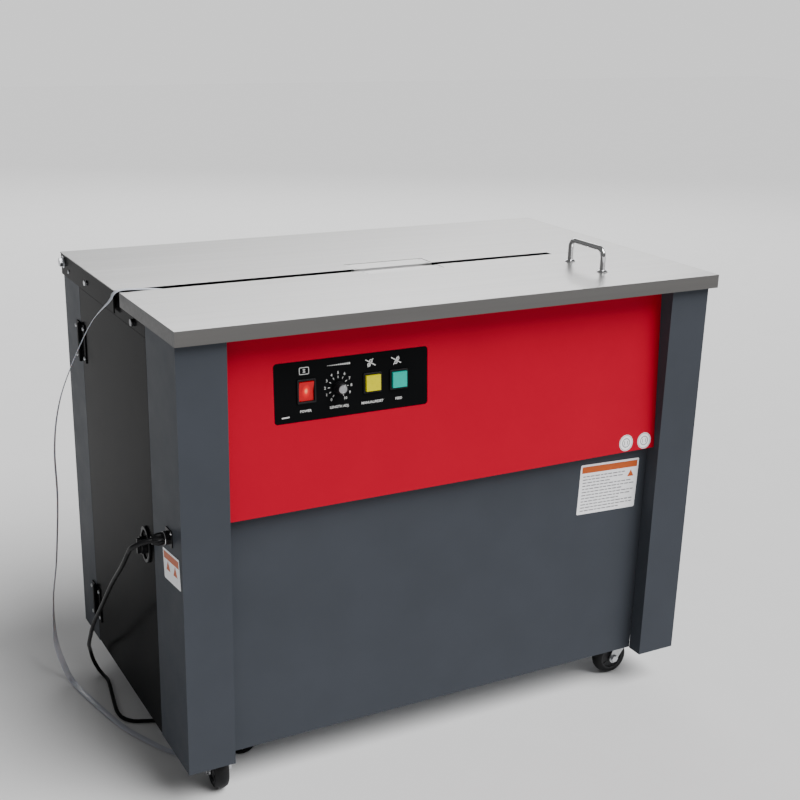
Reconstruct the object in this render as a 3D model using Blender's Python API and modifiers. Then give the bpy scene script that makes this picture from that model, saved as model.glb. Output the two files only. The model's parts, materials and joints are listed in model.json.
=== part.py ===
"""Semi automatic strapping machine: a steel cabinet on four castors, a stainless table that lifts on two
rear pivot bolts, a strap slot along the table, and the strapping head, drive and strap reel inside.

Metres, +Z up. The front faces -Y. The origin is on the floor under the middle of the table.
"""

import math

import bmesh
import bpy
from mathutils import Matrix, Vector

# Driving dimensions
TABLE_LENGTH = 0.900
TABLE_DEPTH = 0.545
TABLE_HEIGHT = 0.722
SHEET = 0.0015
WALL = 0.002
SKIRT = 0.021
GAP = 0.0003

CABINET_LEFT = -0.444
CABINET_RIGHT = 0.440
CABINET_FRONT = -0.2625
CABINET_BACK = 0.280
COLUMN_WIDTH = 0.071
COLUMN_SIDE = 0.121
COLUMN_RETURN = 0.028
COLUMN_BOTTOM = 0.060
COLUMN_TOP = 0.720
REAR_TOP = 0.690
PANEL_BOTTOM = 0.062
BASE_LOW = 0.0815
BASE_HIGH = 0.0845

SLOT_FRONT = -0.038
SLOT_BACK = -0.022
SLOT_MIDDLE = (SLOT_FRONT + SLOT_BACK) / 2
SLOT_END = 0.292
HEAD_HALF = 0.070

RED_LOW = (-0.2501, 0.4372)
RED_LEAN = 0.0590
PLATE_LEFT, PLATE_RIGHT = -0.298, -0.057
PLATE_LOW, PLATE_HIGH = 0.566, 0.6525

TABLE_PIVOT = (0.259, 0.708)
DOOR_AXIS = (-0.4475, 0.190)
DOOR_FRONT = -0.1405
DOOR_TOP = 0.6808

CAM_AXIS = (SLOT_MIDDLE, 0.600)
GRIP_LOW, GRIP_TOP = 0.6200, 0.7060
ROLLER_X = 0.108
FEED_RADIUS, PINCH_RADIUS = 0.015, 0.012
FEED_Z, PINCH_Z = 0.655, 0.683
DRIVE_Y = -0.015
GEARBOX_Z, MOTOR_Z = 0.600, 0.400
BELT_LARGE, BELT_SMALL = 0.042, 0.021

REEL_CENTRE = (0.010, 0.275)
REEL_RADIUS = 0.158

WHEEL_RADIUS = 0.0315
WHEEL_WIDTH = 0.022
TRAIL = 0.022
CASTORS = {
    "front_left": (-0.383, -0.197, math.radians(265.0)),
    "front_right": (0.377, -0.197, math.radians(180.0)),
    "rear_left": (-0.381, 0.215, math.radians(66.0)),
    "rear_right": (0.377, 0.215, math.radians(135.0)),
}

CORD_RADIUS = 0.0032
STRAP_RADIUS = 0.003

for old in list(bpy.data.objects):
    bpy.data.objects.remove(old, do_unlink=True)


def new_collection(name):
    collection = bpy.data.collections.get(name) or bpy.data.collections.new(name)
    if name not in bpy.context.scene.collection.children:
        bpy.context.scene.collection.children.link(collection)
    return collection


PARTS = new_collection("strapping_machine")
CUTTERS = new_collection("cutters")


def material(name, colour, roughness, metallic):
    made = bpy.data.materials.new(name)
    made.use_nodes = True
    shader = made.node_tree.nodes["Principled BSDF"]
    shader.inputs["Base Color"].default_value = (*colour, 1.0)
    shader.inputs["Roughness"].default_value = roughness
    shader.inputs["Metallic"].default_value = metallic
    return made


STAINLESS = material("brushed_stainless", (0.62, 0.62, 0.61), 0.34, 1.0)
GREY_PAINT = material("blue_grey_paint", (0.072, 0.082, 0.098), 0.42, 0.0)
DARK_PAINT = material("dark_grey_gloss_paint", (0.035, 0.036, 0.038), 0.25, 0.0)
RED_PAINT = material("red_paint", (0.62, 0.008, 0.014), 0.42, 0.0)
BLACK_PLASTIC = material("black_plastic", (0.012, 0.012, 0.013), 0.40, 0.0)
CHROME = material("chrome_plate", (0.80, 0.80, 0.80), 0.08, 1.0)
ZINC = material("zinc_plated_steel", (0.55, 0.56, 0.57), 0.35, 1.0)
STEEL = material("machined_steel", (0.45, 0.45, 0.46), 0.30, 1.0)
CAST = material("cast_aluminium", (0.50, 0.50, 0.50), 0.50, 1.0)
GREEN_PAINT = material("motor_paint", (0.05, 0.10, 0.16), 0.45, 0.0)
TYRE = material("black_tyre", (0.015, 0.015, 0.015), 0.70, 0.0)
RUBBER = material("belt_rubber", (0.02, 0.02, 0.02), 0.75, 0.0)
RED_LENS = material("red_lens", (0.75, 0.03, 0.03), 0.25, 0.0)
YELLOW_LENS = material("yellow_lens", (0.85, 0.62, 0.02), 0.25, 0.0)
GREEN_LENS = material("green_lens", (0.02, 0.55, 0.40), 0.25, 0.0)
COPPER = material("copper_winding", (0.55, 0.25, 0.10), 0.35, 1.0)
BOARD = material("circuit_board", (0.02, 0.16, 0.06), 0.50, 0.0)
STRAP_WHITE = material("white_strap", (0.80, 0.80, 0.80), 0.35, 0.0)
FIBRE = material("reel_sheet", (0.30, 0.31, 0.33), 0.40, 1.0)


def finish(obj, surface=None, name=None):
    """Give an object its name and material, and keep it in the collection of the parts."""
    if name:
        obj.name = name
        obj.data.name = name
    for collection in list(obj.users_collection):
        collection.objects.unlink(obj)
    PARTS.objects.link(obj)
    if surface:
        obj.data.materials.clear()
        obj.data.materials.append(surface)
    return obj


def as_cutter(obj):
    for collection in list(obj.users_collection):
        collection.objects.unlink(obj)
    CUTTERS.objects.link(obj)
    obj.hide_render = True
    obj.display_type = "WIRE"
    return obj


def box(low, high, surface=None, name="box"):
    low, high = Vector(low), Vector(high)
    bpy.ops.mesh.primitive_cube_add(size=1.0, location=(low + high) / 2)
    obj = bpy.context.active_object
    obj.data.transform(Matrix.Diagonal((*(high - low), 1.0)))
    return finish(obj, surface, name)


AXIS_TURN = {
    "X": Matrix.Rotation(math.pi / 2, 4, "Y"),
    "Y": Matrix.Rotation(-math.pi / 2, 4, "X"),
    "Z": Matrix.Identity(4),
}


def smooth(obj, degrees=35):
    obj.data.shade_smooth()
    obj.data.set_sharp_from_angle(angle=math.radians(degrees))


def cylinder(radius, start, end, axis, centre, surface=None, name="cylinder", sides=24):
    """A cylinder along X, Y or Z from start to end; centre is its place on the other two axes."""
    middle = list(centre)
    middle.insert("XYZ".index(axis), (start + end) / 2)
    bpy.ops.mesh.primitive_cylinder_add(vertices=sides, radius=radius, depth=end - start, location=middle)
    obj = bpy.context.active_object
    obj.data.transform(AXIS_TURN[axis])
    smooth(obj)
    return finish(obj, surface, name)


def turned(profile, axis, place, surface, name, steps=32, closed=True):
    """A turned shape. The profile is (radius, height) points, down the outer side and back up inside."""
    mesh = bpy.data.meshes.new(name)
    shape = bmesh.new()
    points = [shape.verts.new((radius, 0.0, height)) for radius, height in profile]
    for first, second in zip(points, points[1:]):
        shape.edges.new((first, second))
    if closed:
        shape.edges.new((points[-1], points[0]))
    shape.to_mesh(mesh)
    shape.free()
    obj = bpy.data.objects.new(name, mesh)
    bpy.context.scene.collection.objects.link(obj)
    screw = obj.modifiers.new("turn", "SCREW")
    screw.steps = steps
    screw.render_steps = steps
    screw.use_merge_vertices = True
    screw.merge_threshold = 0.00001
    screw.use_smooth_shade = False
    obj.matrix_world = Matrix.Translation(place) @ AXIS_TURN[axis]
    return finish(obj, surface)


def outline_solid(splines, thickness, frame, surface, name):
    """A flat outline with a thickness, as a mesh. Its curve lies in the local XY plane of frame."""
    curve = bpy.data.curves.new(name, "CURVE")
    curve.dimensions = "2D"
    curve.fill_mode = "BOTH"
    curve.extrude = thickness / 2
    for points in splines:
        spline = curve.splines.new("POLY")
        spline.points.add(len(points) - 1)
        for slot, point in zip(spline.points, points):
            slot.co = (point[0], point[1], 0.0, 1.0)
        spline.use_cyclic_u = True
    guide = bpy.data.objects.new(name, curve)
    bpy.context.scene.collection.objects.link(guide)
    guide.matrix_world = frame
    return curve_to_mesh(guide, surface, name)


def curve_to_mesh(guide, surface, name):
    bpy.context.view_layer.update()
    evaluated = guide.evaluated_get(bpy.context.evaluated_depsgraph_get())
    mesh = bpy.data.meshes.new_from_object(evaluated)
    shape = bmesh.new()
    shape.from_mesh(mesh)
    bmesh.ops.remove_doubles(shape, verts=shape.verts, dist=0.000005)
    shape.to_mesh(mesh)
    shape.free()
    place = guide.matrix_world.copy()
    bpy.data.objects.remove(guide, do_unlink=True)
    obj = bpy.data.objects.new(name, mesh)
    bpy.context.scene.collection.objects.link(obj)
    obj.matrix_world = place
    return finish(obj, surface, name)


def boolean(target, other, operation):
    as_cutter(other)
    step = target.modifiers.new(operation.lower(), "BOOLEAN")
    step.operation = operation
    step.object = other
    return target


def unite(target, *others):
    for other in others:
        boolean(target, other, "UNION")
    return target


def cut(target, *others):
    for other in others:
        boolean(target, other, "DIFFERENCE")
    return target


def put_origin(obj, point):
    """Move an unrotated object's origin to a point on its joint's axis, leaving its shape in place."""
    shift = Vector(point) - obj.location
    obj.data.transform(Matrix.Translation(-shift))
    obj.location = point
    return obj


def tube(points, radius, surface, name, resolution=2):
    curve = bpy.data.curves.new(name, "CURVE")
    curve.dimensions = "3D"
    curve.bevel_depth = radius
    curve.bevel_resolution = resolution
    curve.use_fill_caps = True
    spline = curve.splines.new("POLY")
    spline.points.add(len(points) - 1)
    for slot, point in zip(spline.points, points):
        slot.co = (*point, 1.0)
    obj = bpy.data.objects.new(name, curve)
    bpy.context.scene.collection.objects.link(obj)
    return finish(obj, surface)


def smooth_route(route, count, radius):
    """Evenly spaced points on a smooth curve (Catmull-Rom) through the route, kept above the floor."""
    knots = [Vector(point) for point in route]
    ends = [2 * knots[0] - knots[1]] + knots + [2 * knots[-1] - knots[-2]]
    fine = []
    for index in range(len(knots) - 1):
        before, start, end, after = ends[index : index + 4]
        for step in range(20):
            t = step / 20
            fine.append(
                0.5 * (2 * start + (end - before) * t + (2 * before - 5 * start + 4 * end - after) * t * t
                       + (3 * start - before - 3 * end + after) * t ** 3)
            )
    fine.append(knots[-1])
    lengths = [0.0]
    for first, second in zip(fine, fine[1:]):
        lengths.append(lengths[-1] + (second - first).length)
    spaced = []
    index = 0
    for step in range(count):
        target = lengths[-1] * step / (count - 1)
        while index < len(fine) - 2 and lengths[index + 1] < target:
            index += 1
        share = (target - lengths[index]) / (lengths[index + 1] - lengths[index])
        spaced.append(fine[index].lerp(fine[index + 1], min(share, 1.0)))
    for point in spaced:
        point.z = max(point.z, radius + 0.0008)
    return spaced


def arc(centre, radius, start, end, steps):
    angles = [math.radians(start + (end - start) * step / steps) for step in range(steps + 1)]
    return [(centre[0] + radius * math.cos(a), centre[1] + radius * math.sin(a)) for a in angles]


# Local frames for flat outlines: (local x, local y, local z) in world axes
IN_YZ = Matrix(((0, 0, 1, 0), (1, 0, 0, 0), (0, 1, 0, 0), (0, 0, 0, 1)))
IN_XY = Matrix.Identity(4)


# Cabinet
def side_mirror(x):
    """The same place measured from the cabinet's other side."""
    return CABINET_LEFT + CABINET_RIGHT - x


def column(name, right, rear):
    """A folded column: front wall, side wall and the return that the recessed panel meets."""
    outer, inner = CABINET_LEFT, CABINET_LEFT + COLUMN_WIDTH
    face = CABINET_BACK if rear else CABINET_FRONT
    turn = -1.0 if rear else 1.0
    side_end = DOOR_AXIS[1] + GAP if rear else CABINET_FRONT + COLUMN_SIDE
    back = face + turn * (0.014 if rear else COLUMN_RETURN)
    points = [
        (outer, side_end),
        (outer, face),
        (inner, face),
        (inner, back),
        (inner - WALL, back),
        (inner - WALL, face + turn * WALL),
        (outer + WALL, face + turn * WALL),
        (outer + WALL, side_end),
    ]
    if right:
        points = [(side_mirror(x), y) for x, y in points]
    top = REAR_TOP if rear else COLUMN_TOP
    middle = (COLUMN_BOTTOM + top) / 2
    frame = Matrix.Translation((0, 0, middle))
    return outline_solid([points], top - COLUMN_BOTTOM, frame, GREY_PAINT, name)


def pivot_ear(right):
    """The ear at the top of a rear column that holds the table's pivot bolt."""
    y, z = TABLE_PIVOT
    start, end = CABINET_LEFT, CABINET_LEFT + WALL
    if right:
        start, end = side_mirror(end), side_mirror(start)
    ear = cylinder(0.010, start, end, "X", (y, z))
    neck = box((start, y - 0.010, REAR_TOP - 0.004), (end, y + 0.010, z))
    hole = cylinder(0.0043, start - 0.01, end + 0.01, "X", (y, z), sides=16)
    return ear, neck, hole


for corner_name, is_right in (("left", False), ("right", True)):
    front_column = column("column_front_" + corner_name, is_right, False)
    if not is_right:
        gland_hole = cylinder(0.0083, -0.46, -0.43, "X", (-0.213, 0.415), sides=16)
        cut(front_column, gland_hole)
    rear_column = column("column_rear_" + corner_name, is_right, True)
    ear_disc, ear_neck, ear_hole = pivot_ear(is_right)
    unite(rear_column, ear_neck, ear_disc)
    cut(rear_column, ear_hole)

PANEL_LEFT = CABINET_LEFT + COLUMN_WIDTH + GAP
PANEL_RIGHT = CABINET_RIGHT - COLUMN_WIDTH - GAP
PANEL_FRONT = CABINET_FRONT + COLUMN_RETURN

box((PANEL_LEFT, PANEL_FRONT, PANEL_BOTTOM), (PANEL_RIGHT, PANEL_FRONT + 0.0016, 0.470),
    GREY_PAINT, "lower_front_panel")


def red_y(z):
    """How far back the leaning red panel's face is at a height."""
    return RED_LOW[0] + (z - RED_LOW[1]) * RED_LEAN


def red_panel():
    """The red front panel leans back towards its top, and its bottom lip turns in over the lower panel."""
    low = RED_LOW[1]
    lip = PANEL_FRONT - GAP
    points = [
        (lip, low),
        (red_y(low), low),
        (red_y(COLUMN_TOP), COLUMN_TOP),
        (red_y(COLUMN_TOP) + 0.0016, COLUMN_TOP),
        (red_y(low) + 0.0017, low + 0.0016),
        (lip, low + 0.0016),
    ]
    middle = Matrix.Translation(((PANEL_LEFT + PANEL_RIGHT) / 2, 0, 0))
    panel = outline_solid([points], PANEL_RIGHT - PANEL_LEFT, middle @ IN_YZ, RED_PAINT, "red_front_panel")
    window = box((PLATE_LEFT, -0.30, PLATE_LOW), (PLATE_RIGHT, -0.20, PLATE_HIGH))
    return cut(panel, window)


red_panel()

# The control plate and its controls are laid out on the leaning face: local x is along the front,
# local z runs up the face, and local y runs into the cabinet.
FACE = Matrix.Translation((0, *RED_LOW)) @ Matrix.Rotation(-math.atan(RED_LEAN), 4, "X")
FACE_SCALE = math.hypot(1.0, RED_LEAN)


def face_height(z):
    return (z - RED_LOW[1]) * FACE_SCALE


CONTROL_Z = face_height(0.609)
ROCKER_X, DIAL_X, RESET_X, FEED_X = -0.249, -0.200, -0.1465, -0.1042
BUTTON_HALF = 0.0113


def on_face(obj):
    """Take an object made in the face's own axes to its place in the cabinet."""
    obj.matrix_world = FACE @ obj.matrix_world
    return obj


def control_plate():
    low, high = face_height(PLATE_LOW) + 0.0005, face_height(PLATE_HIGH) - 0.0005
    plate = on_face(box((PLATE_LEFT + GAP, 0.0008, low), (PLATE_RIGHT - GAP, 0.0034, high),
                        BLACK_PLASTIC, "control_plate"))
    rocker_frame = on_face(box((ROCKER_X - 0.0137, -0.0006, CONTROL_Z - 0.0167),
                               (ROCKER_X + 0.0137, 0.0030, CONTROL_Z + 0.0167)))
    unite(plate, rocker_frame)
    for x in (RESET_X, FEED_X):
        unite(plate, on_face(box((x - 0.0140, -0.0004, CONTROL_Z - 0.0140), (x + 0.0140, 0.0030, CONTROL_Z + 0.0140))))
    cut(plate, on_face(box((ROCKER_X - 0.0116, -0.01, CONTROL_Z - 0.0150), (ROCKER_X + 0.0116, 0.01, CONTROL_Z + 0.0150))))
    for x in (RESET_X, FEED_X):
        half = BUTTON_HALF + 0.0004
        cut(plate, on_face(box((x - half, -0.01, CONTROL_Z - half), (x + half, 0.01, CONTROL_Z + half))))
    cut(plate, on_face(cylinder(0.0036, -0.01, 0.01, "Y", (DIAL_X, CONTROL_Z), sides=16)))
    return plate


control_plate()


def power_rocker():
    """The rocker is a shallow V in section, so one half stands out when the other is pressed in."""
    half, tilt = 0.0138, math.radians(7.0)
    points = [(-half, -0.0040), (0.0, -0.0024), (half, -0.0040), (half, 0.0050), (0.0, 0.0090), (-half, 0.0050)]
    in_height_depth = Matrix(((0, 0, -1, 0), (0, 1, 0, 0), (1, 0, 0, 0), (0, 0, 0, 1)))
    lean = Matrix.Rotation(tilt, 4, "X")
    frame = Matrix.Translation((ROCKER_X, 0.0040, CONTROL_Z)) @ lean @ in_height_depth
    # The section's own axes are height, depth and width, so the outline is turned the right way round
    return outline_solid([points], 0.0222, FACE @ frame, RED_LENS, "power_rocker")


power_rocker()

for button_name, button_x, lens in (("reset_button", RESET_X, YELLOW_LENS), ("feed_button", FEED_X, GREEN_LENS)):
    button = on_face(box((button_x - BUTTON_HALF, -0.0044, CONTROL_Z - BUTTON_HALF),
                         (button_x + BUTTON_HALF, 0.0120, CONTROL_Z + BUTTON_HALF), lens, button_name))

DIAL_PROFILE = [(0.0, 0.0150), (0.0070, 0.0150), (0.0080, 0.0140), (0.0088, 0.0022), (0.0088, 0.0012),
                (0.0032, 0.0012), (0.0032, -0.0120), (0.0, -0.0120)]
dial = turned(DIAL_PROFILE, "Z", (0, 0, 0), BLACK_PLASTIC, "length_dial", steps=32, closed=False)
dial.matrix_world = FACE @ Matrix.Translation((DIAL_X, 0, CONTROL_Z)) @ Matrix.Rotation(math.pi / 2, 4, "X")


def control_board():
    """The circuit board on its two stand-offs behind the control plate, with its larger components."""
    board = box((-0.285, -0.2020, 0.560), (-0.070, -0.2004, 0.665), BOARD, "control_board")
    for x, z, width, height, depth in ((-0.262, 0.640, 0.028, 0.030, 0.016), (-0.215, 0.640, 0.020, 0.026, 0.018),
                                       (-0.165, 0.638, 0.040, 0.034, 0.012), (-0.105, 0.585, 0.050, 0.012, 0.012)):
        unite(board, box((x - width / 2, -0.2010, z - height / 2), (x + width / 2, -0.2000 + depth, z + height / 2)))
    return board


control_board()


def rear_panel():
    """The removable rear cover, with louvre slots for the motor's cooling air."""
    panel = box((PANEL_LEFT, 0.2664, PANEL_BOTTOM), (PANEL_RIGHT, 0.2680, REAR_TOP), GREY_PAINT, "rear_panel")
    for row in range(6):
        z = 0.360 + row * 0.022
        cut(panel, box((-0.070, 0.25, z), (0.070, 0.29, z + 0.006)))
    return panel


rear_panel()

box((CABINET_RIGHT - WALL, CABINET_FRONT + COLUMN_SIDE + GAP, PANEL_BOTTOM),
    (CABINET_RIGHT, DOOR_AXIS[1], 0.700), GREY_PAINT, "right_side_panel")


def base_pan():
    """The floor of the cabinet with its four castor plates welded under it."""
    pan = box((-0.4285, -0.2320, BASE_LOW), (CABINET_RIGHT - WALL - GAP, 0.2655, BASE_HIGH), ZINC, "base_pan")
    for x, y, _ in CASTORS.values():
        unite(pan, box((x - 0.030, y - 0.030, BASE_LOW - 0.0032), (x + 0.030, y + 0.030, BASE_LOW + 0.0010)))
    return pan


base_pan()


def head_support_frame():
    """The ladder frame that carries the strapping head, and the fixed strip above the left door."""
    left, right = -0.4275, CABINET_RIGHT - WALL - GAP
    frame = box((left, -0.2600, 0.650), (left + 0.020, 0.2660, 0.670), ZINC, "head_support_frame")
    unite(
        frame,
        box((right - 0.020, -0.2600, 0.650), (right, 0.2660, 0.670)),
        box((left + 0.010, -0.0950, 0.650), (right - 0.010, -0.0750, 0.670)),
        box((left + 0.010, 0.0550, 0.650), (right - 0.010, 0.0750, 0.670)),
        box((left, -0.1000, 0.665), (left + 0.020, 0.1500, 0.688)),
        box((CABINET_LEFT + 0.0010, -0.1000, 0.6835), (left + 0.020, 0.1500, 0.6880)),
        box((CABINET_LEFT, DOOR_FRONT, 0.6813), (CABINET_LEFT + WALL, 0.1897, 0.7195)),
    )
    return frame


head_support_frame()


# Table
def table_top():
    """The stainless table: one sheet with folded skirts, the strap slot and the head's opening."""
    left, right = -TABLE_LENGTH / 2, TABLE_LENGTH / 2
    front, back = -TABLE_DEPTH / 2, TABLE_DEPTH / 2
    front_left = left + 0.003
    sheet_points = [
        (front_left, front), (right, front), (right, back), (left, back), (left, SLOT_BACK),
        (-HEAD_HALF, SLOT_BACK), (-HEAD_HALF, 0.014), (HEAD_HALF, 0.014), (HEAD_HALF, SLOT_BACK),
        (SLOT_END, SLOT_BACK), (SLOT_END, SLOT_FRONT), (HEAD_HALF, SLOT_FRONT), (HEAD_HALF, -0.062),
        (-HEAD_HALF, -0.062), (-HEAD_HALF, SLOT_FRONT), (front_left, SLOT_FRONT),
    ]
    level = Matrix.Translation((0, 0, TABLE_HEIGHT - SHEET / 2))
    top = outline_solid([sheet_points], SHEET, level, STAINLESS, "table_top")
    high = TABLE_HEIGHT - SHEET / 2
    low = TABLE_HEIGHT - SKIRT
    unite(
        top,
        box((front_left, front, low), (right, front + SHEET, high)),
        box((right - SHEET, front, low), (right, back, high)),
        box((-0.436, back - SHEET, low), (0.432, back, high)),
        box((front_left, front, low), (front_left + SHEET, SLOT_FRONT, high)),
    )
    flange_low = TABLE_HEIGHT - 0.016
    for start, end in ((left + 0.0095, -HEAD_HALF - 0.004), (HEAD_HALF + 0.004, SLOT_END)):
        rear_edge, front_edge = SLOT_BACK + 0.0002, SLOT_FRONT - 0.0002
        unite(top, box((start, rear_edge, flange_low), (end, rear_edge + SHEET, high)))
        unite(top, box((start, front_edge - SHEET, flange_low), (end, front_edge, high)))
    cut(top, cylinder(0.0045, right - 0.01, right + 0.01, "X", TABLE_PIVOT, sides=16))
    return top


table_top()


def pivot_plate(name, start):
    """The dark plate under a table end that turns on the pivot bolt."""
    low, high = 0.687, TABLE_HEIGHT - SHEET - GAP
    points = [(SLOT_BACK + 0.0075, high), (SLOT_BACK + 0.0075, low), (0.2705, low), (0.2705, high)]
    frame = Matrix.Translation((start + 0.001, 0, 0)) @ IN_YZ
    plate = outline_solid([points], 0.002, frame, DARK_PAINT, name)
    return cut(plate, cylinder(0.0045, start - 0.01, start + 0.01, "X", TABLE_PIVOT, sides=16))


pivot_plate("table_pivot_plate_left", -0.4495)
pivot_plate("table_pivot_plate_right", 0.4455)


def pivot_bolt(name, right):
    """A hex bolt through the table's end into the ear of the rear column, with its nut."""
    y, z = TABLE_PIVOT
    head_start, head_end, inner_end = -0.4558, -0.4498, -0.4360
    nut_start, nut_end = CABINET_LEFT + WALL + GAP, CABINET_LEFT + WALL + 0.0060
    spans = [(head_start, head_end), (head_end - 0.001, inner_end), (nut_start, nut_end)]
    if right:
        head_start, head_end = TABLE_LENGTH / 2 + GAP, TABLE_LENGTH / 2 + 0.0060
        spans = [(head_start, head_end), (side_mirror(inner_end), head_start + 0.001),
                 (side_mirror(nut_end), side_mirror(nut_start))]
    head = cylinder(0.0075, *spans[0], "X", (y, z), ZINC, name, sides=6)
    shank = cylinder(0.0040, *spans[1], "X", (y, z), sides=16)
    nut = cylinder(0.0075, *spans[2], "X", (y, z), sides=6)
    return unite(head, shank, nut)


pivot_bolt("table_pivot_bolt_left", False)
pivot_bolt("table_pivot_bolt_right", True)


def table_handle():
    """The chrome bow handle that lifts the table."""
    x, front, back = 0.2860, -0.1850, -0.0980
    bottom, top, bend = TABLE_HEIGHT + GAP, TABLE_HEIGHT + 0.0360, 0.011
    bow = [(front, bottom)]
    bow += arc((front + bend, top - bend), bend, 180, 90, 5)
    bow += arc((back - bend, top - bend), bend, 90, 0, 5)
    bow += [(back, bottom)]
    return tube([(x, y, z) for y, z in bow], 0.0042, CHROME, "table_handle", resolution=2)


table_handle()


# Left door
def left_door():
    """The hinged service door: a shallow pan with two welded hinge leaves."""
    outer_low = (CABINET_LEFT, DOOR_FRONT, 0.0625)
    outer_high = (CABINET_LEFT + 0.014, DOOR_AXIS[1] - 0.0010, DOOR_TOP)
    door = box(outer_low, outer_high, DARK_PAINT, "left_door")
    cut(door, box((CABINET_LEFT + WALL, DOOR_FRONT + WALL, 0.0645),
                  (CABINET_LEFT + 0.03, DOOR_AXIS[1] - 0.0030, DOOR_TOP - WALL)))
    cut(door, cylinder(0.0083, -0.46, -0.43, "X", LATCH_PLACE, sides=16))
    for low in HINGE_LOWS:
        unite(door, box((-0.4458, 0.1685, low), (-0.4439, 0.1865, low + HINGE_HEIGHT)))
        for start in (low, low + 2 * HINGE_THIRD):
            end = start + HINGE_THIRD - GAP
            unite(door, box((-0.4462, 0.1860, start), (-0.4447, 0.1895, end)))
            unite(door, cylinder(0.0028, start, end, "Z", DOOR_AXIS, sides=12))
    for low in HINGE_LOWS:
        cut(door, cylinder(0.0017, low - 0.01, low + HINGE_HEIGHT + 0.01, "Z", DOOR_AXIS, sides=12))
    return put_origin(door, (*DOOR_AXIS, 0.3720))


HINGE_LOWS = (0.104, 0.562)
HINGE_HEIGHT = 0.062
HINGE_THIRD = HINGE_HEIGHT / 3
LATCH_PLACE = (-0.106, 0.361)
left_door()


def frame_hinge(name, low):
    """The hinge leaf on the rear column, with the middle knuckle and the pin."""
    leaf = box((-0.4461, 0.1925, low), (-0.4443, 0.2115, low + HINGE_HEIGHT), ZINC, name)
    start, end = low + HINGE_THIRD, low + 2 * HINGE_THIRD - GAP
    knuckle = cylinder(0.0028, start, end, "Z", DOOR_AXIS, sides=12)
    web = box((-0.4460, 0.1900, start + 0.0001), (-0.4448, 0.1930, end - 0.0001))
    pin = cylinder(0.0014, low - 0.001, low + HINGE_HEIGHT + 0.001, "Z", DOOR_AXIS, sides=12)
    return unite(leaf, web, knuckle, pin)


frame_hinge("lower_hinge", HINGE_LOWS[0])
frame_hinge("upper_hinge", HINGE_LOWS[1])


def door_latch():
    """The turn knob, its shaft through the door and the cam inside."""
    y, z = LATCH_PLACE
    knob = cylinder(0.0130, -0.4545, -0.4443, "X", (y, z), CHROME, "door_latch", sides=24)
    shaft = cylinder(0.0080, -0.4450, -0.4370, "X", (y, z), sides=16)
    cam = box((-0.4400, y - 0.030, z - 0.006), (-0.4370, y + 0.006, z + 0.006))
    grip = box((-0.4590, y - 0.0025, z - 0.0115), (-0.4540, y + 0.0025, z + 0.0115))
    unite(knob, shaft, cam, grip)
    return put_origin(knob, (-0.4470, y, z))


door_latch()


def cable_gland():
    """The gland that the mains lead leaves the front left column by, with its nut inside."""
    y, z = -0.213, 0.415
    body = cylinder(0.0110, -0.4530, CABINET_LEFT - GAP, "X", (y, z), ZINC, "cable_gland", sides=6)
    dome = cylinder(0.0090, -0.4680, -0.4520, "X", (y, z), sides=20)
    thread = cylinder(0.0080, CABINET_LEFT - 0.001, -0.4350, "X", (y, z), sides=16)
    nut = cylinder(0.0110, CABINET_LEFT + WALL + GAP, -0.4370, "X", (y, z), sides=6)
    return unite(body, dome, thread, nut)


cable_gland()


# Strapping head
def head_frame():
    """Two side plates with end bearings and flanges, in which the press heads slide."""
    front_plate = box((-0.080, -0.0580, 0.575), (0.080, -0.0500, 0.700), STEEL, "head_frame")
    unite(
        front_plate,
        box((-0.080, -0.0100, 0.575), (0.080, -0.0020, 0.700)),
        box((0.070, -0.0580, 0.640), (0.130, -0.0500, 0.700)),
        box((0.070, -0.0100, 0.640), (0.130, -0.0020, 0.700)),
        box((-0.080, -0.0540, 0.575), (-0.072, -0.0060, 0.640)),
        box((0.072, -0.0540, 0.575), (0.080, -0.0060, 0.640)),
        box((-0.080, -0.0540, 0.573), (0.080, -0.0060, 0.578)),
        box((-0.080, -0.0945, 0.6703), (0.080, -0.0540, 0.6763)),
        box((-0.080, -0.0060, 0.6703), (0.080, 0.0745, 0.6763)),
        cylinder(0.0040, 0.6740, 0.7112, "Z", HEATER_PIVOT, sides=16),
    )
    cut(front_plate, cylinder(0.0083, -0.10, 0.10, "X", CAM_AXIS, sides=20))
    for z in (FEED_Z, PINCH_Z):
        cut(front_plate, cylinder(0.0043, -0.07, 0.01, "Y", (ROLLER_X, z), sides=16))
    return front_plate


HEATER_PIVOT = (0.045, 0.050)
head_frame()


def head_cover(name, front, back, post):
    """A flush cover plate beside the slot on two posts."""
    cover = box((-0.0695, front, 0.7165), (0.0695, back, 0.7215), STAINLESS, name)
    for low_x in (-0.0695, 0.0595):
        unite(cover, box((low_x, post, 0.7003), (low_x + 0.010, post + 0.006, 0.7175)))
    return cover


head_cover("head_cover_front", -0.0615, SLOT_FRONT, -0.0570)
head_cover("head_cover_rear", SLOT_BACK, 0.0135, -0.0090)


def slide_plate():
    """The anvil plate under the slot, which slides back to let the sealed strap go."""
    plate = box((-0.0575, -0.0490, 0.7115), (0.0575, -0.0120, 0.7160), STEEL, "slide_plate")
    return unite(plate, box((-0.010, -0.0140, 0.7115), (0.010, 0.0400, 0.7160)))


slide_plate()

for press_name, low_x, high_x in (("left_gripper", -0.0560, -0.0340), ("press_head", -0.0325, 0.0325),
                                  ("right_gripper", 0.0340, 0.0560)):
    box((low_x, -0.0495, GRIP_LOW), (high_x, -0.0105, GRIP_TOP), STEEL, press_name)


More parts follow.
